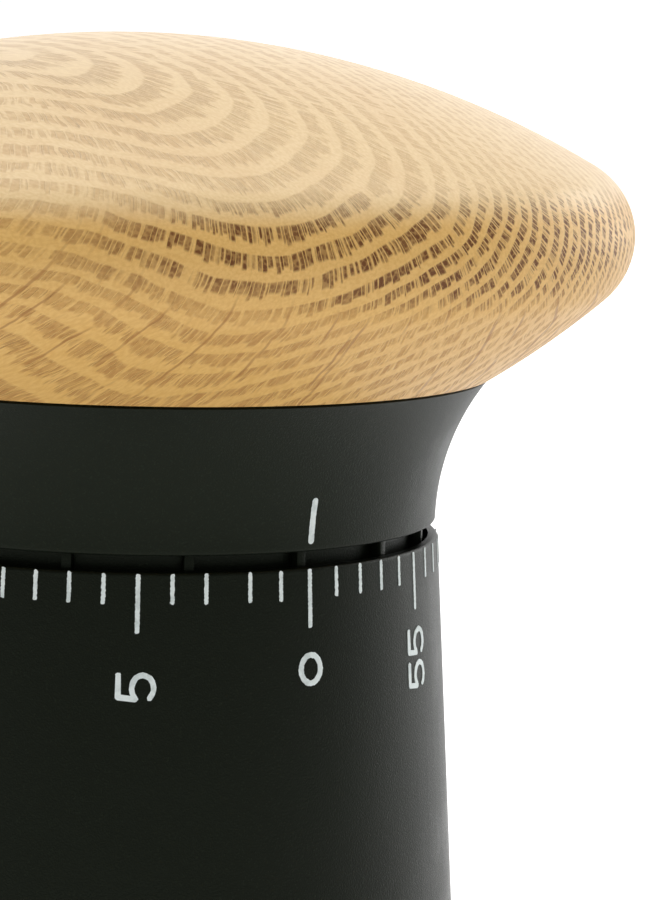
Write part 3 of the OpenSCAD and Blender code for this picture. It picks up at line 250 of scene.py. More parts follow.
def soft_lamp(name, turn, rise, away, size, level, shows=True):
    """A square lamp that looks at the collar. Level is the share of full white that it gives."""
    lamp = bpy.data.lights.new(name, "AREA")
    lamp.size = size
    lamp.energy = level * math.pi ** 2 * away ** 2
    spot = show(name, lamp)
    a = math.radians(-90 + turn) + CAMERA_ROUND
    e = math.radians(rise)
    towards = Vector((math.cos(a) * math.cos(e), math.sin(a) * math.cos(e), math.sin(e)))
    spot.location = LAMPS_AIM + towards * away
    spot.rotation_euler = towards.to_track_quat("Z", "Y").to_euler()
    spot.visible_glossy = shows


soft_lamp("overhead", turn=180, rise=87, away=0.9, size=1.3, level=0.86)
soft_lamp("right_back", turn=125, rise=8, away=0.9, size=0.7, level=0.36)
soft_lamp("front_fill", turn=-15, rise=12, away=1.6, size=0.5, level=0.06, shows=False)

# %% [markdown]
# ## Effects that several finishes share
# Moulded plastic and rubber have the fine spark grain of their mould, machined metal has short
# brushed lines, and everything that is handled gathers faint smudges. Each effect is one shader group
# with named inputs, so that every material can use it at its own size and strength.

# %% Spark grain of a mould
tree, given, result = new_group(
    "Spark grain", "ShaderNodeTree",
    [("Grains per metre", "Float", 4500.0), ("Patch per metre", "Float", 350.0)],
    [("Height", "Float"), ("Speckle", "Float")])
place = add(tree, "ShaderNodeTexCoord").outputs["Object"]
grain = noise_in(tree, place, given["Grains per metre"], roughness=0.6)["Fac"]
patch = noise_in(tree, place, given["Patch per metre"], detail=3.0)["Fac"]
feed(tree, result["Height"], maths(tree, "MULTIPLY_ADD", patch, 0.35, grain))
feed(tree, result["Speckle"], step_up(tree, grain, 0.56, 0.72))
spark_grain = tree

# %% Handling marks
tree, given, result = new_group(
    "Handling marks", "ShaderNodeTree",
    [("Marks per metre", "Float", 60.0), ("Softness", "Float", 0.12)],
    [("Mask", "Float")])
place = add(tree, "ShaderNodeTexCoord").outputs["Object"]
broad = noise_in(tree, place, given["Marks per metre"], detail=5.0, roughness=0.62)["Fac"]
full = maths(tree, "ADD", 0.52, given["Softness"])
feed(tree, result["Mask"], step_up(tree, broad, 0.46, full))
handling_marks = tree

# %% Brushed lines
LATHE_LAY = 0.02          # metres of line pattern for each radian round the axis

tree, given, result = new_group(
    "Brushed lines", "ShaderNodeTree",
    [("Lines per metre", "Float", 9000.0), ("Length", "Float", 40.0), ("Round", "Float", 1.0)],
    [("Height", "Float"), ("Tone", "Float")])
place = add(tree, "ShaderNodeTexCoord").outputs["Object"]
parts = add(tree, "ShaderNodeSeparateXYZ", Vector=place).outputs
around = product(tree, maths(tree, "ARCTAN2", parts["Y"], parts["X"]), LATHE_LAY)
turned = add(tree, "ShaderNodeCombineXYZ", X=distance(tree, parts["X"], parts["Y"]),
             Y=maths(tree, "DIVIDE", around, given["Length"]), Z=parts["Z"]).outputs[0]
drawn = add(tree, "ShaderNodeCombineXYZ", X=maths(tree, "DIVIDE", parts["X"], given["Length"]), Y=parts["Y"],
            Z=parts["Z"]).outputs[0]
lay = mix_of(tree, "VECTOR", given["Round"], drawn, turned)
line = noise_in(tree, lay, given["Lines per metre"])["Fac"]
feed(tree, result["Height"], line)
cloud = noise_in(tree, place, 180.0, detail=4.0)["Fac"]
feed(tree, result["Tone"], maths(tree, "MULTIPLY_ADD", line, 0.4, product(tree, cloud, 0.6)))
brushed_lines = tree
print("shared effects", [g.name for g in bpy.data.node_groups])

# %% [markdown]
# ## Finishes of the plain materials
# A moulded black plastic is never one black. The grain scatters light, so small sparks of it are
# lighter, and hands polish it in patches. The metals change tone along their brushed lines. Each
# finish is one Principled shader with its colour, roughness and bump fed from the shared effects.

# %% Using the shared effects
def use(tree, group, **inputs):
    """Places a shared effect in a material."""
    node = tree.nodes.new("ShaderNodeGroup")
    node.node_tree = group
    for key, value in inputs.items():
        feed(tree, node.inputs[key.replace("_", " ")], value)
    return node.outputs


def blend_of(tree, share, first, second):
    """A colour between two colours."""
    return mix_of(tree, "RGBA", share, first, second)


def raise_surface(tree, shader, height, depth):
    bump = add(tree, "ShaderNodeBump", Height=height, Distance=depth, Strength=1.0)
    feed(tree, shader.inputs["Normal"], bump.outputs["Normal"])


# %% Moulded plastic and rubber
SHINE_TINT = (0.88, 1.0, 0.80, 1)      # a faint green in what the plastic mirrors


def moulded(name, dark, light, polish, grains, depth, shine):
    """Polish is the roughness, depth the height of the grain in metres, shine the specular level."""
    material, tree, shader = new_finish(name)
    grain = use(tree, spark_grain, Grains_per_metre=grains)
    marks = use(tree, handling_marks, Marks_per_metre=70.0)
    # The lighter sparks of the grain are painted glints, blended into the colour.
    colour = blend_of(tree, product(tree, grain["Speckle"], 0.8), (*dark, 1), (*light, 1))
    feed(tree, shader.inputs["Base Color"], colour)
    rough = maths(tree, "MULTIPLY_ADD", marks["Mask"], -0.07, polish)
    feed(tree, shader.inputs["Roughness"], maths(tree, "MULTIPLY_ADD", grain["Speckle"], -0.08, rough))
    shader.inputs["Specular IOR Level"].default_value = shine
    shader.inputs["Specular Tint"].default_value = SHINE_TINT
    raise_surface(tree, shader, grain["Height"], depth)
    return material


finishes = {
    "black_plastic": moulded("black_plastic", dark=(0.0026, 0.0036, 0.0018), light=(0.010, 0.014, 0.008),
                             polish=0.38, grains=7200.0, depth=0.000035, shine=0.12),
    "collar_plastic": moulded("collar_plastic", dark=(0.0034, 0.0048, 0.0025), light=(0.013, 0.018, 0.011),
                              polish=0.40, grains=7200.0, depth=0.000035, shine=0.13),
    "rubber": moulded("rubber", dark=(0.012, 0.012, 0.012), light=(0.022, 0.022, 0.022),
                      polish=0.82, grains=2600.0, depth=0.00005, shine=0.3),
}


# %% Metals
def brushed(name, dark, light, polish, lines, length, round_share, depth):
    material, tree, shader = new_finish(name)
    lay = use(tree, brushed_lines, Lines_per_metre=lines, Length=length, Round=round_share)
    marks = use(tree, handling_marks, Marks_per_metre=240.0)
    feed(tree, shader.inputs["Base Color"], blend_of(tree, lay["Tone"], (*dark, 1), (*light, 1)))
    feed(tree, shader.inputs["Roughness"], maths(tree, "MULTIPLY_ADD", marks["Mask"], 0.14, polish))
    shader.inputs["Metallic"].default_value = 1.0
    raise_surface(tree, shader, lay["Height"], depth)
    return material


# Each metal: dark and light tone, roughness, lines per metre, their stretch, 1 for lines round the axis
# or 0 for straight ones, and the depth of the lines in metres.
metals = {
    "steel": ((0.42, 0.42, 0.42), (0.66, 0.66, 0.65), 0.30, 7000.0, 30.0, 0.0, 0.00001),
    "spring_steel": ((0.10, 0.13, 0.24), (0.26, 0.30, 0.42), 0.24, 8000.0, 30.0, 1.0, 0.00001),
    "brass": ((0.58, 0.38, 0.13), (0.80, 0.60, 0.27), 0.24, 7000.0, 30.0, 0.0, 0.00001),
    "bell_steel": ((0.62, 0.61, 0.58), (0.76, 0.75, 0.72), 0.12, 3000.0, 60.0, 1.0, 0.000004),
    "zinc_screw": ((0.46, 0.48, 0.50), (0.68, 0.70, 0.74), 0.28, 6000.0, 20.0, 1.0, 0.00001),
}
for name, look in metals.items():
    finishes[name] = brushed(name, *look)
print("finishes", sorted(finishes))

# %% [markdown]
# ## Oak
# Oak is a ring-porous wood. Each year begins with rows of wide open vessels, and thin rays run out
# from the pith across the years. On a domed knob the years are cut at every angle, so the rows draw
# nested ovals on top and close brown rows round the edge. A flat picture would smear there, so the
# wood is worked out in space: a Mapping node turns a point into the tree's own directions, and its
# distance from the pith counts the years. The dome then cuts them as a lathe does.

# %% The tree's own directions
PITH = Vector((-14.77, -14.66, 82.42)) * MM       # a point on the pith, just above the knob
GRAIN = Vector((0.0689, -0.9818, 0.1769)).normalized()
side_way = Vector((0, 0, 1)).cross(GRAIN).normalized()
tree_turn = Matrix((GRAIN, side_way, GRAIN.cross(side_way))).transposed().to_euler()

YEAR, LATE_YEAR, LATE_FROM = 1.95 * MM, 1.33 * MM, 25 * MM    # the years get narrower further out

# How far the years bulge at each bearing round the pith, in degrees from straight down.
bulges = [(-180, 1.0), (-110, 0.96), (-60, 0.93), (-48, 0.969), (-36, 1.055), (-28, 1.076), (-18, 1.053),
          (-6, 1.008), (0, 1.0), (12, 1.0115), (24, 1.0215), (36, 1.0166), (48, 1.034), (60, 1.088),
          (75, 1.133), (96, 1.078), (140, 1.02), (180, 1.0)]


def curve_of(tree, value, points):
    """A smooth curve through points, for values between 0 and 1."""
    node = add(tree, "ShaderNodeFloatCurve", Value=value)
    line = node.mapping.curves[0]
    line.points[0].location = points[0]
    line.points[-1].location = points[-1]
    for x, y in points[1:-1]:
        line.points.new(x, y)
    node.mapping.update()
    return node.outputs[0]


def point_of(tree, *values_and_sizes):
    """A point from three values, each divided by its own size."""
    terms = [maths(tree, "DIVIDE", value, size) for value, size in values_and_sizes]
    return add(tree, "ShaderNodeCombineXYZ", X=terms[0], Y=terms[1], Z=terms[2]).outputs[0]


def cells_at(tree, point, feature="F1"):
    """Voronoi cells with one cell for each unit of the point."""
    return add(tree, "ShaderNodeTexVoronoi", {"feature": feature}, Vector=point, Scale=1.0).outputs


print("grain runs along", [round(c, 3) for c in GRAIN])

# %% Years, vessels, rays and fibre
ROW_PLACE = 0.154             # where the rows of vessels lie between the years' borders, in years
ROW_MIDDLE = 0.25             # how far into a year's share the middle of its row lies
COLUMN_LONG = 9 * MM          # a column of vessels runs this far along the grain
FAN_REACH = 24 * MM           # the distance from the pith at which the ray spacing holds

tree, given, result = new_group(
    "Oak", "ShaderNodeTree",
    [("Year width", "Float", YEAR), ("Late year width", "Float", LATE_YEAR),
     ("Late from", "Float", LATE_FROM), ("Column width", "Float", 0.31 * MM),
     ("Ray spacing", "Float", 1.9 * MM)],
    [("Vessels", "Float"), ("Rays", "Float"), ("Fibre", "Float"), ("Cloud", "Float")])
place = add(tree, "ShaderNodeTexCoord").outputs["Object"]
in_tree = add(tree, "ShaderNodeMapping", {"vector_type": "TEXTURE"}, Vector=place)
in_tree.inputs["Location"].default_value = PITH
in_tree.inputs["Rotation"].default_value = tree_turn
sway = vectors(tree, "SUBTRACT", noise_in(tree, place, 260.0)["Color"], (0.5, 0.5, 0.5))
shift = vectors(tree, "MULTIPLY", sway, (0.4 * MM, 0.7 * MM, 0.7 * MM))
parts = add(tree, "ShaderNodeSeparateXYZ", Vector=vectors(tree, "ADD", in_tree.outputs[0], shift)).outputs
along, across, up = parts["X"], parts["Y"], parts["Z"]

bearing = maths(tree, "ARCTAN2", across, product(tree, up, -1.0))
from_pith = distance(tree, across, up)
bulge = curve_of(tree, maths(tree, "MULTIPLY_ADD", bearing, 0.5 / math.pi, 0.5),
                 [((turn + 180) / 360, size - 0.5) for turn, size in bulges])
reach = product(tree, from_pith, maths(tree, "ADD", bulge, 0.5))
late_rate = maths(tree, "SUBTRACT", maths(tree, "DIVIDE", 1.0, given["Late year width"]),
                  maths(tree, "DIVIDE", 1.0, given["Year width"]))
late_reach = maths(tree, "MAXIMUM", maths(tree, "SUBTRACT", reach, given["Late from"]), 0.0)
early = maths(tree, "ADD", maths(tree, "DIVIDE", reach, given["Year width"]), ROW_PLACE)
years = maths(tree, "ADD", maths(tree, "ADD", early, product(tree, late_reach, late_rate)), ROW_MIDDLE)
year = maths(tree, "FLOOR", years)
share = maths(tree, "SUBTRACT", years, year)

# Columns of vessels stand between thin pale rays. Each column ends at its own depth.
ring_reach = product(tree, maths(tree, "ADD", year, 0.5), given["Year width"])
round_way = product(tree, bearing, ring_reach)
wider = maths(tree, "MULTIPLY_ADD", step_up(tree, ring_reach, 19 * MM, 26 * MM), 0.55, 1.0)
column_width = product(tree, given["Column width"], wider)
column_point = point_of(tree, (round_way, column_width), (along, COLUMN_LONG), (year, 0.13))
chance = add(tree, "ShaderNodeSeparateColor", Color=cells_at(tree, column_point)["Color"]).outputs
depth = maths(tree, "MULTIPLY_ADD", chance["Red"], 0.28, 0.50)
row_end = step_up(tree, maths(tree, "SUBTRACT", share, depth), -0.10, 0.06)
open_row = product(tree, step_up(tree, share, 0.02, 0.12), maths(tree, "SUBTRACT", 1.0, row_end))
gap = cells_at(tree, column_point, "DISTANCE_TO_EDGE")["Distance"]
between_rays = step_up(tree, gap, 0.0, 0.14)
pore_point = point_of(tree, (round_way, 0.30 * MM), (along, 4 * MM), (reach, 0.34 * MM))
pores = step_up(tree, cells_at(tree, pore_point)["Distance"], 0.75, 0.35)
grouped = maths(tree, "MULTIPLY_ADD", pores, 0.35, 0.65)
strength = maths(tree, "MULTIPLY_ADD", chance["Green"], 0.30, 0.85)
feed(tree, result["Vessels"], product(tree, open_row, between_rays, grouped, strength))

# Broad rays are thin sheets between pith and bark: long brown lines where the cut lies along them.
wander = noise_in(tree, point_of(tree, (bearing, 0.4), (along, 12 * MM), (from_pith, 9 * MM)))["Fac"]
fan = maths(tree, "ADD", product(tree, bearing, maths(tree, "DIVIDE", FAN_REACH, given["Ray spacing"])),
            product(tree, wander, 0.5))
sheet = add(tree, "ShaderNodeTexVoronoi", {"voronoi_dimensions": "1D"}, W=fan, Scale=1.0).outputs
which = add(tree, "ShaderNodeSeparateColor", Color=sheet["Color"]).outputs["Red"]
seen_here = noise_in(tree, point_of(tree, (which, 0.05), (along, 10 * MM), (from_pith, 7 * MM)))["Fac"]
sheet_line = product(tree, step_up(tree, sheet["Distance"], 0.07, 0.02), step_up(tree, seen_here, 0.42, 0.58))
feed(tree, result["Rays"], product(tree, sheet_line, step_up(tree, from_pith, 15 * MM, 20 * MM)))
fine_point = point_of(tree, (across, 0.22 * MM), (along, 9 * MM), (up, 0.22 * MM))
feed(tree, result["Fibre"], noise_in(tree, fine_point, detail=3.0)["Fac"])
cloud_point = point_of(tree, (across, 6 * MM), (along, 22 * MM), (up, 6 * MM))
feed(tree, result["Cloud"], noise_in(tree, cloud_point)["Fac"])
oak_group = tree

# %% Oak finish
PLAIN_WOOD = (0.76, 0.445, 0.130, 1), (0.84, 0.525, 0.175, 1)
# The paler pair is the painted light of the top, blended in where the surface faces up.
TOP_LIT_WOOD = (0.80, 0.545, 0.240, 1), (0.87, 0.620, 0.300, 1)
CLOUD_TONE, RAY_TONE = (0.70, 0.40, 0.13, 1), (0.36, 0.150, 0.035, 1)
VESSEL_SIDE, VESSEL_END = (0.42, 0.195, 0.055, 1), (0.160, 0.054, 0.010, 1)      # cut along, cut across

# How dark the vessels are, from cut along their length (0) to cut across it (1).
vessel_share = [(0, 0.65), (0.40, 0.65), (0.62, 0.46), (0.76, 0.70), (0.90, 1.0), (1, 1.0)]

material, tree, shader = new_finish("oak")
wood = use(tree, oak_group)
# Faces that look up are painted paler, as painted light and sheen from the overhead lamp, with fainter rays
# and vessels, and get more coat. Vessels show most where they are cut across their length.
surface_way = add(tree, "ShaderNodeTexCoord").outputs["Normal"]
end_cut = maths(tree, "ABSOLUTE", vectors(tree, "DOT_PRODUCT", surface_way, tuple(GRAIN)))
facing_up = step_up(tree, add(tree, "ShaderNodeSeparateXYZ", Vector=surface_way).outputs["Z"], 0.36, 0.76)
fibre = step_up(tree, wood["Fibre"], 0.30, 0.70)
ground = blend_of(tree, facing_up, blend_of(tree, fibre, *PLAIN_WOOD), blend_of(tree, fibre, *TOP_LIT_WOOD))
cloud_share = product(tree, step_up(tree, wood["Cloud"], 0.45, 0.75), 0.20)
cloudy = blend_of(tree, cloud_share, ground, CLOUD_TONE)
ray_share = product(tree, maths(tree, "SUBTRACT", 1.0, step_up(tree, end_cut, 0.58, 0.85)),
                    maths(tree, "MULTIPLY_ADD", facing_up, -0.9, 1.0), 0.65)
rayed = blend_of(tree, product(tree, wood["Rays"], ray_share), cloudy, RAY_TONE)
dark_share = product(tree, curve_of(tree, end_cut, vessel_share),
                     maths(tree, "MULTIPLY_ADD", facing_up, -0.45, 1.0))
vessel_tone = blend_of(tree, step_up(tree, end_cut, 0.60, 0.90), VESSEL_SIDE, VESSEL_END)
brown = blend_of(tree, product(tree, wood["Vessels"], dark_share), rayed, vessel_tone)
feed(tree, shader.inputs["Base Color"], brown)
feed(tree, shader.inputs["Roughness"], maths(tree, "MULTIPLY_ADD", wood["Vessels"], 0.25, 0.50))
shader.inputs["Specular IOR Level"].default_value = 0.25
feed(tree, shader.inputs["Coat Weight"], maths(tree, "MULTIPLY_ADD", facing_up, 0.40, 0.25))
shader.inputs["Coat Roughness"].default_value = 0.30
height = maths(tree, "MULTIPLY_ADD", wood["Vessels"], -1.0, product(tree, wood["Fibre"], 0.15))
raise_surface(tree, shader, height, 0.05 * MM)
finishes["oak"] = material
print("oak ready")

# %% [markdown]
# ## Turned pieces
# The knob is turned on a lathe, and the collar is a moulding of revolution. Both follow one rule:
# a profile swept round the axis. A Screw modifier or Spin could do it. A small Geometry Nodes tree
# does it here, because the profile stays a plain list of points and the number of steps round the
# axis is a named input. It lays a grid, and sets each point by its row of the profile and its column.

# %% The turning tree
def end_tree(tree, result, shape, material, crease=30.0):
    """Smooth faces with sharp corners, real geometry and one material."""
    smooth = add(tree, "GeometryNodeSetShadeSmooth", {"domain": "FACE"}, Geometry=shape)
    bend = add(tree, "GeometryNodeInputMeshEdgeAngle").outputs["Unsigned Angle"]
    sharp = add(tree, "GeometryNodeSetShadeSmooth", {"domain": "EDGE"}, Geometry=smooth.outputs[0],
                Selection=maths(tree, "GREATER_THAN", bend, math.radians(crease)), Shade_Smooth=False)
    real = add(tree, "GeometryNodeRealizeInstances", Geometry=sharp.outputs[0])
    painted = add(tree, "GeometryNodeSetMaterial", Geometry=real.outputs[0], Material=material)
    feed(tree, result, painted.outputs[0])


tree, given, result = new_group(
    "Turned piece", "GeometryNodeTree",
    [("Profile", "Geometry", None), ("Steps round", "Int", 256), ("Material", "Material", None)],
    [("Piece", "Geometry")])
points = add(tree, "GeometryNodeAttributeDomainSize", Geometry=given["Profile"]).outputs["Point Count"]
grid = add(tree, "GeometryNodeMeshGrid", Vertices_X=maths(tree, "ADD", given["Steps round"], 1.0),
           Vertices_Y=points)
index = add(tree, "GeometryNodeInputIndex").outputs[0]
column = maths(tree, "FLOOR", maths(tree, "DIVIDE", index, points))
row = maths(tree, "SUBTRACT", index, product(tree, column, points))
sample = add(tree, "GeometryNodeSampleIndex", {"data_type": "FLOAT_VECTOR"}, Geometry=given["Profile"],
             Value=add(tree, "GeometryNodeInputPosition").outputs[0], Index=row)
turn = product(tree, maths(tree, "DIVIDE", column, given["Steps round"]), 2 * math.pi)
spun = add(tree, "ShaderNodeVectorRotate", {"rotation_type": "Z_AXIS"}, Vector=sample.outputs[0], Angle=turn)
placed = add(tree, "GeometryNodeSetPosition", Geometry=grid.outputs["Mesh"], Position=spun.outputs[0])
closed = add(tree, "GeometryNodeMergeByDistance", Geometry=placed.outputs[0], Distance=1e-6)
end_tree(tree, result["Piece"], closed.outputs[0], given["Material"])
turned_piece = tree

# %% Ring of copies
tree, given, result = new_group(
    "Ring of copies", "GeometryNodeTree",
    [("One", "Geometry", None), ("Count", "Int", 6), ("Material", "Material", None)],
    [("Piece", "Geometry")])
spots = add(tree, "GeometryNodeMeshLine", Count=given["Count"])
feed(tree, spots.inputs["Offset"], (0, 0, 0))
step = maths(tree, "DIVIDE", 2 * math.pi, given["Count"])
angle = product(tree, add(tree, "GeometryNodeInputIndex").outputs[0], step)
copies = add(tree, "GeometryNodeInstanceOnPoints", Points=spots.outputs[0], Instance=given["One"],
             Rotation=add(tree, "ShaderNodeCombineXYZ", Z=angle).outputs[0])
end_tree(tree, result["Piece"], copies.outputs[0], given["Material"])
ring_of_copies = tree


# %% Making a piece from a tree
LATHE_STEPS = 288         # round a large turned piece


def outward(mesh):
    """Merges a mesh and turns its faces outwards. Gives the number of open edges, which should be 0."""
    work = bmesh.new()
    work.from_mesh(mesh)
    bmesh.ops.remove_doubles(work, verts=work.verts, dist=1e-6)
    bmesh.ops.recalc_face_normals(work, faces=work.faces)
    open_edges = sum(1 for e in work.edges if len(e.link_faces) != 2)
    work.to_mesh(mesh)
    work.free()
    return open_edges


def make_piece(name, start, tree, **inputs):
    """Runs a tree on a start mesh and keeps the result as a plain mesh."""
    piece = show(name, start)
    modifier = piece.modifiers.new(tree.name, "NODES")
    modifier.node_group = tree
    for item in tree.interface.items_tree:
        key = item.name.replace(" ", "_")
        if item.in_out == "INPUT" and key in inputs:
            modifier[item.identifier] = inputs[key]
    bpy.context.view_layer.update()
    shown = piece.evaluated_get(bpy.context.evaluated_depsgraph_get())
    plain = bpy.data.meshes.new_from_object(shown)
    piece.modifiers.clear()
    piece.data = plain
    plain.name = name
    open_edges = outward(plain)
    print(name, "faces", len(plain.polygons), "open edges", open_edges)
    return piece


def profile_mesh(name, points):
    """A profile in the X and Z directions, from points in mm."""
    mesh = bpy.data.meshes.new(name)
    edges = [(i, i + 1) for i in range(len(points) - 1)]
    mesh.from_pydata([(r * MM, 0, z * MM) for r, z in points], edges, [])
    return mesh


def oval_points(centre, radii, start, stop, count=14):
    """Points on part of an oval, with angles in degrees."""
    turns = [math.radians(start + (stop - start) * k / count) for k in range(count + 1)]
    return [(centre[0] + radii[0] * math.cos(a), centre[1] + radii[1] * math.sin(a)) for a in turns]


def arc_points(centre, radius, start, stop, count):
    return oval_points(centre, (radius, radius), start, stop, count)


# %% [markdown]
# ## The oak knob
# The knob is a flat mushroom: a shallow dome, a generous round edge, and an underside that slopes in
# to the collar with a slight bulge. Each arc runs smoothly into the next. The centres of the arcs are
# worked out from the knob's own sizes, as a turner's template would be, and a groove in the underside
# takes the ring that centres the knob on the collar.

# %% Knob
KNOB_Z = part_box("wood_knob")[0].z / MM
KNOB_R, KNOB_H = 39.96, 26.5
EDGE_ROUND, EDGE_H, UNDER_R, UNDER_ROUND = 6.25, 11.4, 28.99, 70.0
GROOVE_OUT, GROOVE_IN, GROOVE_H = 16.15, 14.25, 1.55

edge_r = KNOB_R - EDGE_ROUND
drop = KNOB_H - EDGE_H
dome_r = (edge_r ** 2 + drop ** 2 - EDGE_ROUND ** 2) / (2 * (drop - EDGE_ROUND))
dome_end = math.degrees(math.atan2(EDGE_H - (KNOB_H - dome_r), edge_r))

# The underside is an arc through its foot that meets the edge arc without a corner.
foot_to_edge = math.hypot(edge_r - UNDER_R, EDGE_H)
way = math.atan2(EDGE_H, edge_r - UNDER_R)
along = (UNDER_ROUND ** 2 - (UNDER_ROUND - EDGE_ROUND) ** 2 + foot_to_edge ** 2) / (2 * foot_to_edge)
aside = math.sqrt(UNDER_ROUND ** 2 - along ** 2)
under_mid = (UNDER_R + along * math.cos(way) - aside * math.sin(way),
             along * math.sin(way) + aside * math.cos(way))
under_start = math.degrees(math.atan2(-under_mid[1], UNDER_R - under_mid[0]))
under_end = math.degrees(math.atan2(EDGE_H - under_mid[1], edge_r - under_mid[0]))

slope = arc_points(under_mid, UNDER_ROUND, under_start, under_end, 14)[:-1]
edge = arc_points((edge_r, EDGE_H), EDGE_ROUND, under_end, dome_end, 36)
dome = arc_points((0, KNOB_H - dome_r), dome_r, dome_end, 90, 48)[1:]
dome[-1] = (0, KNOB_H)
base = [(0, 0), (GROOVE_IN, 0), (GROOVE_IN, GROOVE_H), (GROOVE_OUT, GROOVE_H), (GROOVE_OUT, 0)]
knob_profile = [(r, z + KNOB_Z) for r, z in base + slope + edge + dome]
knob = make_piece("oak_knob", profile_mesh("knob_profile", knob_profile), turned_piece,
                  Steps_round=LATHE_STEPS, Material=finishes["oak"])
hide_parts("wood_knob")
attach(knob, "dial")

# %% [markdown]
# ## The collar
# The collar carries the knob. Its outside flares up from the rim of the body in one arc, its spigot
# goes down into the body's mouth, and a web with a hub takes the winding arbor. Sixteen small ribs on
# the spigot keep it central, and they can be seen in the gap under the flare. The flare is a turned
# piece with a small round on each outer edge, because a moulded edge is never knife sharp.

# %% Collar flare
LOW_Z, TOP_Z = 41.2, 53.1
FLARE_LOW, FLARE_RISE, FLARE_WALL = 24.73, 4.11, 1.6
SPIGOT_R, SPIGOT_WALL, SPIGOT_Z = 22.9, 1.4, 36.0
WEB_H, PILOT_R, PILOT_WALL, PILOT_H = 2.2, 16.0, 1.6, 1.4
BORE_R, HUB_R, HUB_Z = 2.52, 4.6, 35.0
EDGE = 0.25               # round of a moulded edge

arc_r = ((TOP_Z - LOW_Z) ** 2 + FLARE_RISE ** 2) / (2 * FLARE_RISE)


def flare_at(height):
    """Radius of the flare at a height, in mm."""
    return FLARE_LOW + arc_r - math.sqrt(arc_r ** 2 - (height - LOW_Z) ** 2)


inner_r = SPIGOT_R - SPIGOT_WALL
web_z = TOP_Z - WEB_H
inner_slope = (FLARE_RISE - FLARE_WALL) * 2      # the inside falls twice as far as it draws in
flare_heights = [LOW_Z + EDGE + (TOP_Z - 2 * EDGE - LOW_Z) * k / 40 for k in range(41)]
collar_profile = (
    [(BORE_R, web_z), (inner_r + FLARE_RISE - FLARE_WALL, web_z), (inner_r, web_z - inner_slope),
     (inner_r, SPIGOT_Z + EDGE), (inner_r + EDGE, SPIGOT_Z), (SPIGOT_R - EDGE, SPIGOT_Z),
     (SPIGOT_R, SPIGOT_Z + EDGE), (SPIGOT_R, LOW_Z)]
    + arc_points((FLARE_LOW - EDGE, LOW_Z + EDGE), EDGE, -90, -10, 4)
    + [(flare_at(z), z) for z in flare_heights]
    + arc_points((flare_at(TOP_Z) - 2 * EDGE, TOP_Z - EDGE), EDGE, 40, 90, 4)
    + [(PILOT_R, TOP_Z), (PILOT_R, TOP_Z + PILOT_H), (PILOT_R - PILOT_WALL, TOP_Z + PILOT_H),
       (PILOT_R - PILOT_WALL, TOP_Z), (BORE_R, TOP_Z), (BORE_R, web_z)])
flare = make_piece("collar_flare", profile_mesh("collar_profile", collar_profile), turned_piece,
                   Steps_round=LATHE_STEPS, Material=finishes["collar_plastic"])

# %% Collar hub
hub_top = web_z + 0.1     # a little into the web
hub_profile = [(BORE_R, HUB_Z), (HUB_R - EDGE, HUB_Z), (HUB_R, HUB_Z + EDGE), (HUB_R, hub_top),
               (BORE_R, hub_top), (BORE_R, HUB_Z)]
hub = make_piece("collar_hub", profile_mesh("hub_profile", hub_profile), turned_piece,
                 Steps_round=96, Material=finishes["collar_plastic"])


# %% Guide ribs, web ribs and stop lug
SOFTENED = 0.1            # bevel of a block's edges


def block(name, low, high):
    """A block with softened edges, from two corners in mm."""
    work = bmesh.new()
    bmesh.ops.create_cube(work, size=1.0)
    for vert in work.verts:
        vert.co = Vector([(low[k] if vert.co[k] < 0 else high[k]) * MM for k in range(3)])
    bmesh.ops.bevel(work, geom=work.edges[:], offset=SOFTENED * MM, segments=2, affect="EDGES", profile=0.5)
    mesh = bpy.data.meshes.new(name)
    work.to_mesh(mesh)
    work.free()
    return mesh


# Each block goes a little way into the wall that carries it, so that no slit shows between them.
RIB_REACH, RIB_W, RIB_LIFT, RIB_ROOT = 1.0, 0.8, 0.4, 0.3
guide = block("guide_rib", (-RIB_W / 2, -SPIGOT_R - RIB_REACH, SPIGOT_Z + RIB_LIFT),
              (RIB_W / 2, -SPIGOT_R + RIB_ROOT, LOW_Z + RIB_LIFT))
guides = make_piece("collar_guide_ribs", guide, ring_of_copies, Count=16, Material=finishes["collar_plastic"])

WEB_RIB_W, WEB_RIB_H, HUB_ROOT, WALL_ROOT, WEB_ROOT = 1.1, 5.0, 0.4, 0.15, 0.2
web = block("web_rib", (HUB_R - HUB_ROOT, -WEB_RIB_W / 2, web_z - WEB_RIB_H),
            (inner_r + WALL_ROOT, WEB_RIB_W / 2, web_z + WEB_ROOT))
webs = make_piece("collar_web_ribs", web, ring_of_copies, Count=6, Material=finishes["collar_plastic"])

LUG_W, LUG_IN, LUG_OUT, LUG_Z, LUG_ROOT, LUG_TURN = 1.0, 21.65, 22.75, 34.3, 0.5, 61
lug = block("stop_lug", (-LUG_W / 2, -LUG_OUT, LUG_Z), (LUG_W / 2, -LUG_IN, SPIGOT_Z + LUG_ROOT))
lug.transform(Matrix.Rotation(math.radians(90 + LUG_TURN), 4, "Z"))
stop = make_piece("collar_stop_lug", lug, ring_of_copies, Count=1, Material=finishes["collar_plastic"])
for piece in (flare, hub, guides, webs, stop):
    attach(piece, "dial")
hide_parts("collar")

# %% [markdown]
# ## The printed scale
# The scale is pad printed: sixty short strokes with rounded ends, a longer one every five minutes,
# and numerals that read upwards. The strokes repeat, so Geometry Nodes lays them out flat, as the
# printing plate is. The numerals are drawn from strokes of one pen width and joined into one flat
# mesh. A little noise roughens every edge like real ink. The tree then wraps the plate round the
# cone of the body, where the print has a small seam beside the zero.

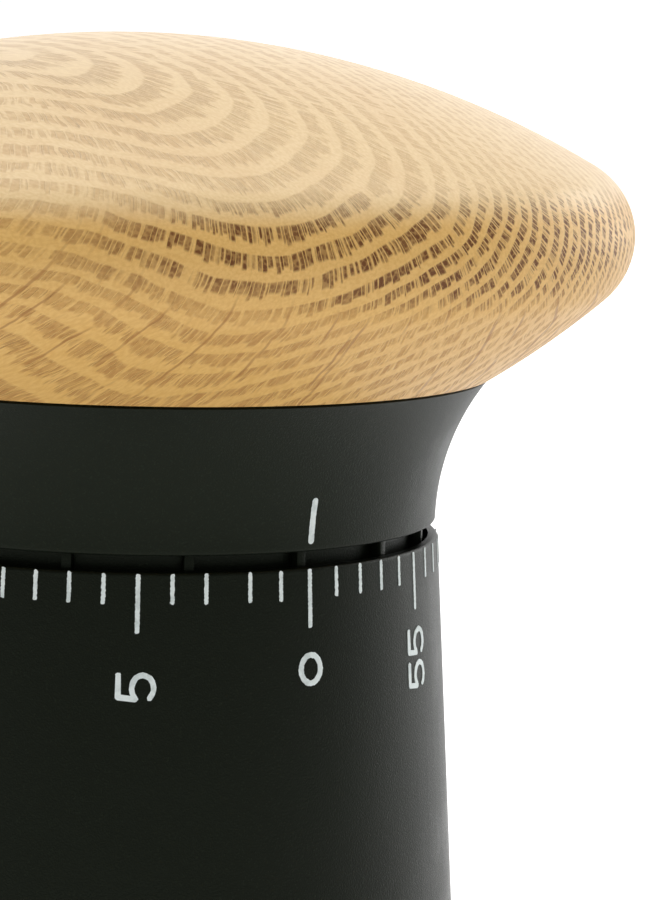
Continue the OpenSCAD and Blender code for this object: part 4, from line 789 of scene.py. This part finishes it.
# %% Numerals from pen strokes
PEN = 0.42
W, H = 2.0, 2.63          # width and height of a digit, along the pen's middle
DIGIT_PITCH = 2.62
ZERO_SIZE, ZERO_PEN = (1.08, 0.88), 0.45       # the lone 0 is rounder and bolder
LABEL_DROP = 8.4          # from the marks' top line to the middle of a label
DROP_OF = {"0": 7.7, "5": 8.62}                # labels of one digit have their own
DISC_SIDES = 14
digit_strokes = {
    "0": [oval_points((W / 2, H / 2), (W / 2, H / 2), 0, 360, 32)],
    "1": [[(0.35, H - 0.55), (1.1, H), (1.1, 0)]],
    "2": [oval_points((W / 2, H - 0.78), (W / 2 - 0.05, 0.78), 165, -35) + [(0.1, 0), (W, 0)]],
    "3": [oval_points((W / 2 - 0.05, H - 0.68), (W / 2 - 0.1, 0.68), 150, -90)
          + oval_points((W / 2 - 0.05, 0.74), (W / 2 + 0.02, 0.74), 90, -150)],
    "4": [[(W - 0.5, 0), (W - 0.5, H), (0, 0.8), (W, 0.8)]],
    "5": [[(W - 0.1, H), (0.25, H), (0.12, 1.35)]
          + oval_points((W / 2 - 0.05, 0.82), (W / 2 - 0.02, 0.82), 135, -140)],
}


def ribbon(points, width):
    """Outlines of a pen stroke: a box for each part and a disc for each corner."""
    pieces = []
    half = width / 2
    for (ax, ay), (bx, by) in zip(points, points[1:]):
        way = Vector((bx - ax, by - ay)).normalized() * half
        pieces.append([(ax + way.y, ay - way.x), (bx + way.y, by - way.x),
                       (bx - way.y, by + way.x), (ax - way.y, ay + way.x)])
    turns = [k * 2 * math.pi / DISC_SIDES for k in range(DISC_SIDES)]
    for x, y in points:
        pieces.append([(x + half * math.cos(a), y + half * math.sin(a)) for a in turns])
    return pieces


def flat_union(outlines):
    """One flat mesh, in metres, from outlines in mm that may overlap."""
    verts, faces = [], []
    for outline in outlines:
        faces.append(list(range(len(verts), len(verts) + len(outline))))
        verts += [Vector(p) for p in outline]
    corners, _, tris, _, _, inside = delaunay_2d_cdt(verts, [], faces, 0, 1e-4)
    kept = [tri for tri, source in zip(tris, inside) if source]
    return [(x * MM, y * MM, 0) for x, y in corners], kept


MARK_TOP = 0.07                             # from the rim down to the marks
SEAM_MINUTE, SEAM_TURN = 3, 2.05            # the gap before this minute is wider by so many degrees
MARK_TURN = (360 - 6 - SEAM_TURN) / 59      # the other gaps make up for it, so that the circle closes
RIM_R, RIM_Z, CONE = 25.0, 40.0, 2.74 / 40


def mark_place(minute):
    """How far right of the zero a minute's mark lies on the flat plate, in mm."""
    turn = -minute * MARK_TURN - (SEAM_TURN if minute >= SEAM_MINUTE else 0)
    return math.radians(turn) * RIM_R


def label_strokes(text):
    """The strokes of a label round its own middle, each with its pen."""
    if text == "0":
        return [(oval_points((0, 0), ZERO_SIZE, 0, 360, 36), ZERO_PEN)]
    strokes = []
    for nth, digit in enumerate(text):
        shift = (nth - (len(text) - 1) / 2) * DIGIT_PITCH
        for stroke in digit_strokes[digit]:
            strokes.append(([(x - W / 2 + shift, y - H / 2) for x, y in stroke], PEN))
    return strokes


outlines = []
for label in range(0, 60, 5):
    minute = label if label <= 30 else label - 60
    down = MARK_TOP + DROP_OF.get(str(label), LABEL_DROP)
    for stroke, pen in label_strokes(str(label)):
        # A label reads upwards, so its right is the plate's up.
        outlines += ribbon([(mark_place(minute) - y, x - down) for x, y in stroke], pen)
corners, tris = flat_union(outlines)
numerals = bpy.data.meshes.new("numerals")
numerals.from_pydata(corners, [], tris)
print("numerals", len(tris), "triangles")

# %% The printing tree
EDGE_GRAIN = 5600.0       # ragged spots per metre along the ink's edge

tree, given, result = new_group(
    "Printed scale", "GeometryNodeTree",
    [("Numerals", "Geometry", None), ("Marks", "Int", 60), ("First minute", "Int", -27),
     ("Seam minute", "Int", SEAM_MINUTE), ("Seam", "Float", math.radians(SEAM_TURN) * RIM_R * MM),
     ("Pitch", "Float", math.radians(MARK_TURN) * RIM_R * MM), ("Short", "Float", 2.35 * MM),
     ("Long", "Float", 4.55 * MM), ("Fine pen", "Float", 0.31 * MM), ("Broad pen", "Float", 0.35 * MM),
     ("Top gap", "Float", MARK_TOP * MM), ("Ink edge", "Float", 0.10 * MM),
     ("Rim radius", "Float", RIM_R * MM), ("Rim height", "Float", RIM_Z * MM), ("Cone", "Float", CONE),
     ("Ink height", "Float", 0.02 * MM), ("Material", "Material", None)],
    [("Piece", "Geometry")])


def vector_of(**parts):
    return add(tree, "ShaderNodeCombineXYZ", **parts).outputs[0]


def pen_mark(width, length):
    """A flat stroke with round ends that hangs down from the plate's top line."""
    box = add(tree, "GeometryNodeCurvePrimitiveQuadrilateral", Width=width, Height=length)
    soft = add(tree, "GeometryNodeFilletCurve", {"mode": "POLY"}, Curve=box.outputs[0], Count=5,
               Radius=product(tree, width, 0.42), Limit_Radius=True)
    even = add(tree, "GeometryNodeResampleCurve", {"mode": "LENGTH"}, Curve=soft.outputs[0], Length=0.06 * MM)
    face = add(tree, "GeometryNodeFillCurve", {"mode": "TRIANGLES"}, Curve=even.outputs[0])
    low = maths(tree, "MULTIPLY_ADD", length, -0.5, product(tree, given["Top gap"], -1.0))
    return add(tree, "GeometryNodeTransform", Geometry=face.outputs[0],
               Translation=vector_of(Y=low)).outputs[0]


row_of_marks = add(tree, "GeometryNodeMeshLine", Count=given["Marks"])
feed(tree, row_of_marks.inputs["Offset"], (0, 0, 0))
minute = maths(tree, "ADD", add(tree, "GeometryNodeInputIndex").outputs[0], given["First minute"])
past_seam = maths(tree, "GREATER_THAN", maths(tree, "ADD", minute, 0.5), given["Seam minute"])
over = maths(tree, "ADD", product(tree, minute, given["Pitch"]), product(tree, past_seam, given["Seam"]))
on_plate = add(tree, "GeometryNodeSetPosition", Geometry=row_of_marks.outputs[0],
               Position=vector_of(X=product(tree, over, -1.0)))
fifth = maths(tree, "LESS_THAN", maths(tree, "MODULO", maths(tree, "ADD", minute, 60.25), 5.0), 0.5)
long_marks = add(tree, "GeometryNodeInstanceOnPoints", Points=on_plate.outputs[0], Selection=fifth,
                 Instance=pen_mark(given["Broad pen"], given["Long"]))
short_marks = add(tree, "GeometryNodeInstanceOnPoints", Points=on_plate.outputs[0],
                  Selection=maths(tree, "SUBTRACT", 1.0, fifth),
                  Instance=pen_mark(given["Fine pen"], given["Short"]))
plate = add(tree, "GeometryNodeJoinGeometry")
for part in (short_marks.outputs[0], long_marks.outputs[0], given["Numerals"]):
    tree.links.new(part, plate.inputs[0])
real = add(tree, "GeometryNodeRealizeInstances", Geometry=plate.outputs[0])
place = add(tree, "GeometryNodeInputPosition").outputs[0]
ragged = vectors(tree, "SUBTRACT", noise_in(tree, place, EDGE_GRAIN)["Color"], (0.5, 0.5, 0.5))
rough = vectors(tree, "SCALE", vectors(tree, "MULTIPLY", ragged, (2, 2, 0)))
feed(tree, rough.node.inputs["Scale"], given["Ink edge"])
inked = add(tree, "GeometryNodeSetPosition", Geometry=real.outputs[0], Offset=rough)
sunk = add(tree, "GeometryNodeTransform", Geometry=inked.outputs[0],
           Translation=vector_of(Z=product(tree, given["Ink height"], -1.0)))
raised = add(tree, "GeometryNodeExtrudeMesh", {"mode": "FACES"}, Mesh=sunk.outputs[0],
             Offset=vector_of(Z=1.0), Offset_Scale=product(tree, given["Ink height"], 2.0), Individual=False)
slab = add(tree, "GeometryNodeJoinGeometry")
for part in (raised.outputs["Mesh"], add(tree, "GeometryNodeFlipFaces", Mesh=sunk.outputs[0]).outputs[0]):
    tree.links.new(part, slab.inputs[0])
whole = add(tree, "GeometryNodeMergeByDistance", Geometry=slab.outputs[0], Distance=2e-6)
parts = add(tree, "ShaderNodeSeparateXYZ", Vector=place).outputs
turn = maths(tree, "SUBTRACT", maths(tree, "DIVIDE", parts["X"], given["Rim radius"]), math.pi / 2)
height = maths(tree, "ADD", given["Rim height"], parts["Y"])
skin = maths(tree, "SUBTRACT", given["Rim radius"], product(tree, parts["Y"], given["Cone"]))
out = maths(tree, "ADD", skin, parts["Z"])
wrapped = add(tree, "GeometryNodeSetPosition", Geometry=whole.outputs[0],
              Position=vector_of(X=product(tree, out, maths(tree, "COSINE", turn)),
                                 Y=product(tree, out, maths(tree, "SINE", turn)), Z=height))
end_tree(tree, result["Piece"], wrapped.outputs[0], given["Material"], 50.0)
printed_scale = tree

# %% Ink and the finished scale
INK, WORN_INK = (0.82, 0.90, 0.89, 1), (0.66, 0.74, 0.73, 1)

material, tree, shader = new_finish("scale_ink")
marks = use(tree, handling_marks, Marks_per_metre=900.0)
feed(tree, shader.inputs["Base Color"], blend_of(tree, marks["Mask"], INK, WORN_INK))
grain = use(tree, spark_grain)
feed(tree, shader.inputs["Roughness"], maths(tree, "MULTIPLY_ADD", grain["Speckle"], -0.1, 0.6))
raise_surface(tree, shader, grain["Height"], 0.00003)
ink = material

scale_print = make_piece("printed_scale", numerals, printed_scale, Material=ink)
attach(scale_print, "housing")

# %% [markdown]
# ## The index line
# One stroke of the same ink on the collar shows the minutes that are left. It lies on the curve of
# the flare, so its points are laid on the flare one by one.

# %% Index line
INDEX_LOW, INDEX_HIGH, INDEX_PEN = 41.78, 45.4, 0.52
INDEX_TURN = math.radians(-89.45)
INK_OVER, INK_UNDER = 0.02, -0.03      # the line's outer and inner side, from the flare
WOBBLE = 0.05                          # how far its edge strays
SIDE_STEPS, CAP_STEPS = 26, 8
half = INDEX_PEN / 2


def cap(z, first):
    """The points of a round end between its two sides."""
    turns = [k * math.pi / CAP_STEPS for k in range(first, first + CAP_STEPS - 1)]
    return [(half * math.cos(a), z + half * math.sin(a)) for a in turns]


straight = INDEX_HIGH - INDEX_LOW - INDEX_PEN
side = [INDEX_LOW + half + straight * k / SIDE_STEPS for k in range(SIDE_STEPS + 1)]
outline = ([(half, z) for z in side] + cap(INDEX_HIGH - half, 1)
           + [(-half, z) for z in side[::-1]] + cap(INDEX_LOW + half, CAP_STEPS + 1))


def on_flare(x, z, lift):
    """A point of the index line on the flare, in metres."""
    wobble = noise.noise(Vector((x * 5, z * 5, 3.0))) * WOBBLE
    out = flare_at(z) + lift
    turn = INDEX_TURN + (x + wobble) / out
    return Vector((out * math.cos(turn), out * math.sin(turn), z + wobble * 0.5)) * MM


work = bmesh.new()
rows = [[work.verts.new(on_flare(x, z, lift)) for x, z in outline] for lift in (INK_OVER, INK_UNDER)]
count = len(outline)
far_end = 2 * SIDE_STEPS + CAP_STEPS      # the lowest point of the left side
for verts in rows:
    for k in range(SIDE_STEPS):
        work.faces.new((verts[k], verts[k + 1], verts[far_end - 1 - k], verts[far_end - k]))
    work.faces.new(verts[SIDE_STEPS:SIDE_STEPS + CAP_STEPS + 1])
    work.faces.new(verts[far_end:] + verts[:1])
for k in range(count):
    after = (k + 1) % count
    work.faces.new((rows[0][k], rows[1][k], rows[1][after], rows[0][after]))
mesh = bpy.data.meshes.new("index_line")
work.to_mesh(mesh)
work.free()
print("index line open edges", outward(mesh))
mesh.materials.append(ink)
index_line = show("index_line", mesh)
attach(index_line, "dial")

# %% [markdown]
# ## Finishes on the measured solids
# The body, its cover, the foot, the bell and the clockwork are shown as their measured solids. The
# record names each solid's material, so one loop gives every node its finish.

# %% Materials of the solids
for solid in frame["record"]["subparts"]:
    mesh = frame["nodes"][solid["node"]].data
    mesh.materials.clear()
    mesh.materials.append(finishes[solid["material_slot"]])

# %% [markdown]
# ## View settings
# The plain Standard view keeps colours as they are written.

# %% Finish
bpy.context.scene.view_settings.view_transform = "Standard"
